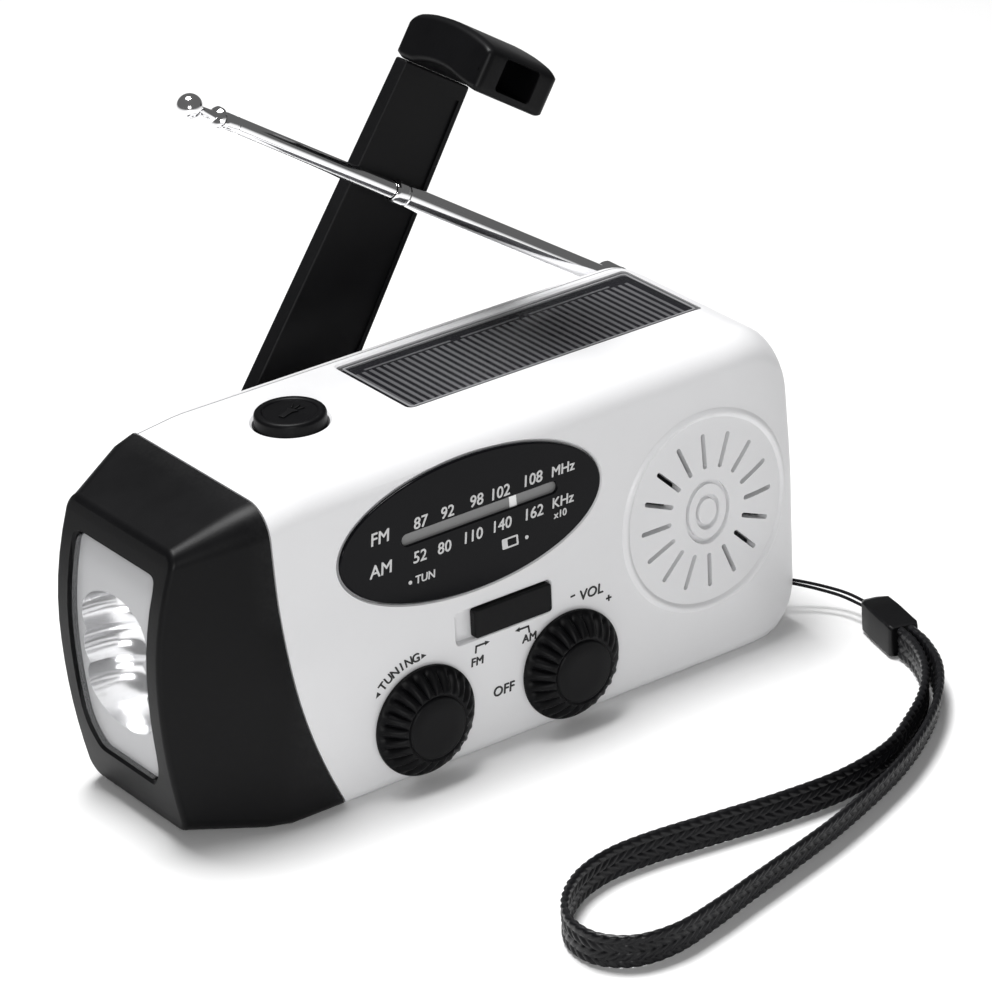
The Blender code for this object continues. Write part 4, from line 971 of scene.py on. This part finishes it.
def make_button():
    """A round push button with a turned-over edge, a shallow dish and a small raised torch sign."""
    radius, top, edge = BUTTON_RADIUS, BUTTON_TOP, 0.7
    profile = [(0, 56.8), (radius, 56.8)] + arc(radius - edge, top - edge, edge, range(0, 91, 15))
    profile += [(radius - 1.2, top), (radius - 1.45, top - 0.12), (radius - 1.6, top - 0.3),
                (3, top - 0.36), (0, top - 0.38)]
    place = shifted(BUTTON_X, BUTTON_Y, 0)
    piece("torch_button_cap", placed(turned(profile, 72), place), "soft_black", "torch_push",
          ["torch_button"], "black_shell")
    low, high = top - 0.5, top - 0.12
    torch = ((-2.6, -0.55), (-0.2, -0.55), (0.9, -1.15), (0.9, 1.15), (-0.2, 0.55), (-2.6, 0.55))
    sign = [prism(torch, low, high, "Z")]
    for angle in (-0.45, 0, 0.45):
        ray = prism(((1.5, -0.12), (2.9, -0.12), (2.9, 0.12), (1.5, 0.12)), low, high, "Z")
        sign.append(placed(ray, rotated(angle, "Z")))
    piece("torch_sign", placed(gathered(sign), place @ rotated(0.35, "Z")), "soft_black",
          "torch_push", (), "black_shell", (0.08, 2))


def make_solar_panel():
    """A dark cell, thin lines across it, a broken bus line at the back, and a light frame line on the
    cover's top face that is a painted highlight of the cover's edge.
    """
    x, y = SOLAR_X, SOLAR_Y
    length, width = SOLAR_LENGTH - 2 * GAP, SOLAR_WIDTH - 2 * GAP
    floor = HEIGHT - SOLAR_DEPTH + GAP
    outline = rounded(x, y, length, width, 0.8)
    piece("cell_plate", prism(outline, floor, floor + 0.34, "Z"), "cell", "case",
          ["solar_cell"], "solar_cell")
    low, high, face = floor + 0.3, floor + 0.4, floor + 1.1
    edge, thick = 1.1, 0.42
    # The light frame line on the cover's top face is a painted highlight of the cover's edge, in the cells'
    # silver; the lines across the cell and the bus line are the cell's own.
    painted_highlight_outline = rounded(x, y, length - edge, width - edge, 0.6, 3)
    inside = rounded(x, y, length - edge - 2 * thick, width - edge - 2 * thick, 0.4, 3)
    lines = [hollow_prism(painted_highlight_outline, inside, face - 0.05, face + 0.03, "Z")]
    left, right = x - length / 2 + 2, x + length / 2 - 3.6
    front, back = y - width / 2 + 1.6, y + width / 2 - 3
    for i in range(CELL_LINES):
        middle = left + (right - left) * i / (CELL_LINES - 1)
        lines.append(box((middle - CELL_LINE, front, low), (middle + CELL_LINE, back, high)))
    for start, end in ((0.04, 0.36), (0.4, 0.62), (0.66, 0.97)):
        x0, x1 = left + (right - left) * start, left + (right - left) * end
        lines.append(box((x0, back + 0.5, low), (x1, back + 0.95, high)))
    lines.append(box((right + 1.2, front, low), (right + 1.8, back, high)))
    piece("cell_lines", gathered(lines), "cell_line_and_highlight", "case", (), "solar_cell", weigh=False)
    piece("solar_glass", prism(outline, floor + 0.7, face, "Z"), "cover", "case", ["solar_cover"],
          "lens_clear", (0.12, 2, 50))


# --- dial, labels and controls

def make_dial():
    """The bezel with its slot, and the scale's strip and pointer behind it."""
    matrix, outer = dial_matrix(), -DIAL_PROUD
    stations = ((0.2, 0), (outer + 0.32, 0), (outer + 0.16, -0.05), (outer + 0.05, -0.16), (outer, -0.34))
    plate = flared(dial_outline, [(FRONT + depth, grow) for depth, grow in stations])
    made = start_piece("dial_face", placed(plate, matrix))
    slot = grown(SCALE_X, SCALE_Z, SCALE_LENGTH, SCALE_HEIGHT, SCALE_HEIGHT / 2 - 0.02, 8)
    stations = ((FRONT - 3, 0.18), (FRONT - 0.32, 0.18), (FRONT - 0.1, 0), (FRONT + 6, 0))
    cut(made, placed(flared(slot, stations), matrix))
    finish_piece(made, "gloss", "case", ["dial_window"], "dial_gloss")
    outline = rounded(SCALE_X, SCALE_Z, SCALE_LENGTH + 2, 7.4, 0.8)
    piece("scale_strip", placed(prism(outline, FRONT + 0.5, FRONT + 0.9), matrix), "strip", "case",
          ["dial_plate"], "white_trim", (0.1, 2, 50))
    outline = rounded(POINTER_X, SCALE_Z, 1.5, 5, 0.3)
    piece("scale_pointer", placed(prism(outline, FRONT + 0.24, FRONT + 0.45), matrix), "pointer", "pointer",
          ["dial_pointer"], "white_trim", (0.08, 2, 50))


def lettering(text, size, slant, bold):
    """Raised letters in the XY plane, centred, made bolder by overprinting with a small shift."""
    curve = bpy.data.curves.new("letters", "FONT")
    curve.body, curve.size, curve.shear = text, size, slant
    curve.align_x, curve.align_y = "CENTER", "CENTER"
    curve.extrude, curve.resolution_u = PRINT, 3
    made = linked("letters", curve)
    graph = bpy.context.evaluated_depsgraph_get()
    data = bpy.data.meshes.new_from_object(made.evaluated_get(graph))
    mesh = bmesh.new()
    mesh.from_mesh(data)
    bmesh.ops.remove_doubles(mesh, verts=mesh.verts, dist=0.001)
    bpy.data.objects.remove(made, do_unlink=True)
    bpy.data.curves.remove(curve)
    bpy.data.meshes.remove(data)
    shifts = ((bold, 0, 0.002), (0, bold, 0.004))
    return gathered([mesh] + [placed(mesh.copy(), Matrix.Translation(shift)) for shift in shifts])


def facing_front(x, z, proud=PRINT, turn=0):
    """Stands flat lettering up on the front at (x, z)."""
    upright = rotated(pi / 2, "X") @ rotated(turn, "Z")
    return shifted(x, FRONT - proud, z) @ upright


def make_dial_print():
    """Scale numbers, band names and two marks, printed on the dial."""
    words = (
        ("FM", -27.2, 47.5, 3.2), ("AM", -27.6, 41.8, 3.2), ("MHz", 11.2, 48.1, 2.6),
        ("KHz", 10.6, 42.4, 2.6), ("x10", 9.9, 40.2, 1.8), ("TUN", -18.9, 37.7, 2),
        ("87", -18.8, 47.7, 2.9), ("92", -13.2, 47.8, 2.9), ("98", -7.1, 48, 2.9),
        ("102", -2.2, 47.9, 2.9), ("108", 4.7, 48.2, 2.9), ("52", -19.6, 41.7, 2.9),
        ("80", -14.5, 41.7, 2.9), ("110", -8.6, 41.9, 2.9), ("140", -2.5, 42, 2.9), ("162", 4.3, 42.1, 2.9),
    )
    proud = DIAL_PROUD + PRINT
    parts = [
        placed(lettering(text, size, 0.15, 0.07), facing_front(x, z, proud)) for text, x, z, size in words
    ]
    low, high = FRONT - proud - PRINT, FRONT - proud + PRINT
    parts += [prism(circle(x, z, 0.36, 20), low, high) for x, z in ((-21.9, 37.7), (2.6, 38.2))]
    battery, inside = rounded(-0.9, 38.4, 3.4, 1.9, 0.2, 2), rounded(-0.5, 38.4, 1.9, 1.3, 0.1, 2)
    parts.append(hollow_prism(battery, inside, low, high))
    piece("dial_print", placed(gathered(parts), dial_matrix()), "print_white", "case", (), "white_trim",
          weigh=False)


def bar(x0, z0, x1, z1, wide):
    """A straight printed line on the front."""
    start, end = Vector((x0, z0)), Vector((x1, z1))
    side = (end - start).normalized().orthogonal() * wide / 2
    corners = [tuple(p) for p in (start + side, end + side, end - side, start - side)]
    return prism(corners, PRINT_FACE - 0.02, PRINT_FACE + 0.02)


def triangle(x, z, size, turn):
    corners = [(x + size * cos(turn + a), z + size * sin(turn + a)) for a in (0, 2.3, -2.3)]
    return prism(corners, PRINT_FACE - 0.02, PRINT_FACE + 0.02)


def make_case_print():
    """Labels round the knobs and under the band switch."""
    words = ("FM", -9.2, 18.2, 2.2), ("AM", 2, 19, 2.1), ("OFF", -3.95, 10.9, 2.6), ("VOL", 15.6, 23.2, 2.7)
    parts = [placed(lettering(text, size, 0.12, 0.12), facing_front(x, z)) for text, x, z, size in words]
    signs = ((11.2, 23.8, 12.2, 23.9), (18.8, 20.9, 20, 20.9), (19.4, 20.3, 19.4, 21.5))
    parts += [bar(*ends, 0.34) for ends in signs]

    def round_tuning(degrees):
        angle, radius = radians(degrees), KNOB_RADIUS + 1.8
        return angle, TUNING_X + radius * cos(angle), KNOB_Z + radius * sin(angle)

    for i, letter in enumerate("TUNING"):
        angle, x, z = round_tuning(131.5 - 7.4 * i)
        turn = angle - pi / 2
        parts.append(placed(lettering(letter, 2.3, 0, 0.12), facing_front(x, z, turn=turn)))
    for degrees, way in ((139.5, 1), (87, -1)):
        angle, x, z = round_tuning(degrees)
        parts.append(triangle(x, z, 0.65, angle + way * pi / 2))
    for x, z, side in ((-8.4, 21.2, -1), (1.2, 21.3, 1)):
        parts.append(bar(x - side * 1.2, z, x + side * 0.9, z, 0.36))
        parts.append(bar(x + side * 0.75, z + 0.1, x + side * 0.95, z - 1.3, 0.36))
        parts.append(triangle(x - side * 1.5, z, 0.6, pi if side == 1 else 0))
    piece("case_print", gathered(parts), "print_black", "case", (), "black_shell", weigh=False)


def knob_ring(radius, height, flute):
    """Rounded ridges with narrow valleys between them."""
    steps = 10
    points = []
    for i in range(KNOB_FLUTES * steps):
        angle = i * 2 * pi / (KNOB_FLUTES * steps)
        reach = radius - flute * (1 - abs(sin(pi * (i % steps / steps))) ** 0.8)
        points.append((reach * cos(angle), reach * sin(angle), height))
    return points


def make_knob(name, x, body, node):
    cap, high = KNOB_CAP_RADIUS, KNOB_HEIGHT
    stations = (
        (KNOB_RADIUS, 0, 0), (KNOB_RADIUS, 0.45, 0), (KNOB_RADIUS - 0.1, 0.6, 0), (9.9, 0.8, 0.9),
        (9.4, 1.5, 1.2), (8.8, 2.3, 1.25), (8.1, 2.95, 1.15), (7.4, 3.5, 0.95), (6.8, 3.85, 0.6),
        (6.4, 4, 0.2), (6.15, 3.95, 0), (cap + 0.12, 3.8, 0), (cap, 3.8, 0),
        (cap - 0.15, high - 0.1, 0), (cap - 0.4, high, 0), (3, high, 0),
    )
    face = FRONT - GAP
    turn = shifted(x, face, KNOB_Z) @ rotated(pi / 2, "X")
    made = start_piece(name, placed(loft([knob_ring(*station) for station in stations]), turn))
    cut(made, rod(x, KNOB_Z, SHAFT_RADIUS + GAP, face - 3.2, face + 2))
    finish_piece(made, "soft_black", body, [node], "black_shell", sharp=48, weigh=False)


def make_band_slider():
    """A low plain slider on its stem, at its right end."""
    centre = BAND_X + (BAND_LENGTH - BAND_SLIDER) / 2 - GAP
    outline = rounded(centre, BAND_Z, BAND_SLIDER, 2 * (BAND_HEIGHT / 2 - GAP), 0.6)
    made = start_piece("band_slide_cap", prism(outline, FRONT - 0.7, FRONT + 0.95))
    soften(made, 0.3, 3)
    stem_x = BAND_X + 1.6
    join(made, box((stem_x - 1.7, FRONT, BAND_Z - 1.2), (stem_x + 1.7, -18.9, BAND_Z + 1.2)))
    finish_piece(made, "black", "band", ["band_slider"], "black_shell")


# --- crank

def arm_matrix():
    return shifted(HUB_X, 0, HUB_Z) @ rotated(-ARM_ANGLE, "Y")


def pin_bore(reach):
    """The bore for the grip's pin, along the arm as far as reach."""
    return placed(prism(circle((ARM_FRONT + ARM_BACK) / 2, 0, 1.1, 24), 90, reach, "X"), arm_matrix())


def make_crank_arm():
    """A flat arm with a shallow channel on both faces."""
    outline = arc(0, 0, ARM_HALF_HUB, range(90, 271, 6))
    outline += [(ARM_END, -ARM_HALF_END), (ARM_END, ARM_HALF_END)]
    matrix = arm_matrix()
    made = start_piece("crank_arm_shell", placed(prism(outline, ARM_FRONT, ARM_BACK), matrix))
    soften(made, 0.45, 3, 40)
    front = ((15, -9.3), (ARM_END - 3, -6.7), (ARM_END - 3, 6.7), (15, 9.3))
    back = ((16, -8.6), (ARM_END - 6, -6), (ARM_END - 6, 6), (16, 8.6))
    cut(
        made,
        placed(prism(front, ARM_FRONT - 2, ARM_FRONT + 0.4), matrix),
        placed(prism(back, ARM_BACK - 0.35, ARM_BACK + 2), matrix),
        rod(HUB_X, HUB_Z, 3.3, 20, 40),
        pin_bore(120),
    )
    finish_piece(made, "black", "crank", ["crank_arm"], "black_shell")


def make_crank_hub():
    profile = ((8.5, 23.8), (8.3, 23.6), (3.3, 23.6), (3.3, 27.3), (8.2, 27.3), (8.5, 27))
    piece("crank_hub_boss", placed(turned(profile, 64), along_y(HUB_X, HUB_Z)), "black", "crank",
          ["crank_hub"], "black_shell")


def make_grip():
    """Crowned outside, hollowed underside, rounded flanks and a square hollow in the front end."""
    line = (
        (GRIP_START, GRIP_BACK), (104.4, GRIP_BACK), (106.6, GRIP_BACK - 0.9), (107.6, 29.2),
        (GRIP_TOP, 25.6), (108.8, 20), (GRIP_TOP, 14), (107.6, 9.4), (106.8, GRIP_FRONT + 0.3),
        (105.6, GRIP_FRONT),
        (100, GRIP_FRONT), (GRIP_START + 0.2, GRIP_FRONT + 0.4), (GRIP_START, GRIP_FRONT + 1.2),
        (99.5, 12.5), (100.3, 16.5), (100.4, 20.5), (99.8, 24.6), (GRIP_START, 26.6),
    )
    fine = [
        (radial + (next_radial - radial) * step / 3, y + (next_y - y) * step / 3)
        for (radial, y), (next_radial, next_y) in zip(line, line[1:] + line[:1]) for step in range(3)
    ]
    eased = [
        [(a + 2 * b + c) / 4 for a, b, c in zip(before, here, after)]
        for before, here, after in zip(fine[-1:] + fine[:-1], fine, fine[1:] + fine[:1])
    ]
    middle, flank = 0.5 * (GRIP_START + GRIP_TOP), 1.6
    rings = []
    for side, turn in ((-1, range(0, 91, 15)), (1, range(90, 181, 15))):
        for degrees in turn:
            angle = radians(degrees)
            draw = flank * (1 - sin(angle)) * 0.8
            lateral = side * (GRIP_HALF - flank + flank * abs(cos(angle)))
            rings.append([
                (r - copysign(draw, r - middle), min(max(y, GRIP_FRONT + draw), GRIP_BACK - draw), lateral)
                for r, y in eased
            ])
    made = start_piece("grip_shell", placed(loft(rings), arm_matrix()))
    stations = [(GRIP_FRONT + y, grow) for y, grow in ((-2, 0.3), (-0.05, 0.3), (0.4, 0), (9, 0))]
    cut(made, placed(flared(grown(103.4, 0, 5.6, 7.8, 0.5, 3), stations), arm_matrix()), pin_bore(104))
    finish_piece(made, "black", "grip", ["crank_grip"], "black_shell", sharp=40)


# --- antenna

def antenna_matrix():
    turn = rotated(ANTENNA_ANGLE - pi / 2, "Y")
    return shifted(ANTENNA_X, ANTENNA_Y, ANTENNA_Z) @ turn


def tube_profile(start, end, outer, inner, floor):
    """A drawn tube whose mouth is rolled in over a shallow groove."""
    return (
        (0, start), (outer - 0.15, start), (outer, start + 0.15), (outer, end - 3.2),
        (outer - 0.12, end - 3), (outer - 0.12, end - 2.7), (outer, end - 2.5), (outer, end - 0.7),
        (outer - 0.08, end - 0.3), (outer - 0.25, end), (inner, end), (inner, start + floor),
        (0, start + floor),
    )


def make_antenna():
    """Its joint, two drawn tubes, a rod, and a ball on a collar, all turned."""
    profile = ((3, 23), (3.2, 23.2), (3.2, 26.8), (3, 27), (1.7, 27), (1.7, 23))
    piece("antenna_joint", placed(turned(profile, 56), along_y(ANTENNA_X, ANTENNA_Z)), "chrome",
          "antenna_base", ["antenna_knuckle"], "antenna_chrome")
    start, end = SECTION_3
    thin = ((0, start), (0.8, start), (0.9, start + 0.1), (0.9, end - 0.1), (0.8, end), (0, end))
    foot = end + GAP
    tip = [
        (0, foot), (1.6, foot), (1.95, foot + 0.2), (2, foot + 0.5), (2, foot + 1),
        (1.7, foot + 1.4), (1.15, foot + 1.7), (0.92, foot + 2.4), (0.9, 101.3),
        *arc(0, BALL_AT, BALL_RADIUS, range(-62, 90, 8)), (0, BALL_AT + BALL_RADIUS),
    ]
    outer, inner = tube_profile(*SECTION_1, 2.1, 1.8, 4.4), tube_profile(*SECTION_2, 1.6, 1.2, 1.5)
    for name, body, node, profile, count in (
        ("antenna_tube_1", "antenna_base", "antenna_section_1", outer, 56),
        ("antenna_tube_2", "antenna_middle", "antenna_section_2", inner, 48),
        ("antenna_rod", "antenna_top", "antenna_section_3", thin, 40),
        ("antenna_ball", "antenna_top", "antenna_tip", tip, 56),
    ):
        mesh = placed(turned(profile, count), antenna_matrix())
        piece(name, mesh, "chrome", body, [node], "antenna_chrome", weigh=False)


# --- CAD pieces that stay

KEPT = {
    "steel": ("antenna_screw", "crank_shaft", "idler_pin", "dynamo", "dynamo_shaft", "grip_pin", "strap_pin",
              "speaker_frame", "speaker_magnet", "band_switch", "torch_switch", "volume_control"),
    "brass": ("hub_bush", "dynamo_pinion", "tuning_shaft", "volume_shaft"),
    "nylon": ("drive_gear", "idler_gear", "tuning_pulley", "tuning_capacitor"),
    "board": ("main_board", "led_board"),
    "wrap": ("battery",),
    "ferrite": ("ferrite_rod",),
    "paper": ("speaker_cone",),
}


def dress_kept_nodes():
    for kind, names in KEPT.items():
        for name in names:
            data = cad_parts[name].data
            data.materials.clear()
            data.materials.append(LOOKS[kind])
            data.shade_smooth()
            data.set_sharp_from_angle(angle=radians(30))


def make_floor():
    grid = bmesh.new()
    bmesh.ops.create_grid(grid, x_segments=8, y_segments=8, size=6)
    floor = linked("floor", mesh_data("floor", grid))
    paper = look("paper_sweep", (0.93, 0.93, 0.93), 0.6, tone=0.004, spread=0.03, grain=400, depth=0.01)
    floor.data.materials.append(paper)


def main():
    make_camera()
    make_strands()
    make_webbing(make_bead())
    make_lights()
    make_floor()
    make_front_case()
    make_grille_rim()
    make_back_case()
    make_screws()
    make_torch_head()
    make_torch_lens()
    make_reflector()
    make_lamps()
    make_button()
    make_solar_panel()
    make_dial()
    make_dial_print()
    make_case_print()
    make_knob("tuning_knob_cap", TUNING_X, "tuning", "tuning_knob")
    make_knob("volume_knob_cap", VOLUME_X, "volume", "volume_knob")
    make_band_slider()
    make_crank_arm()
    make_crank_hub()
    make_grip()
    make_antenna()
    dress_kept_nodes()


main()
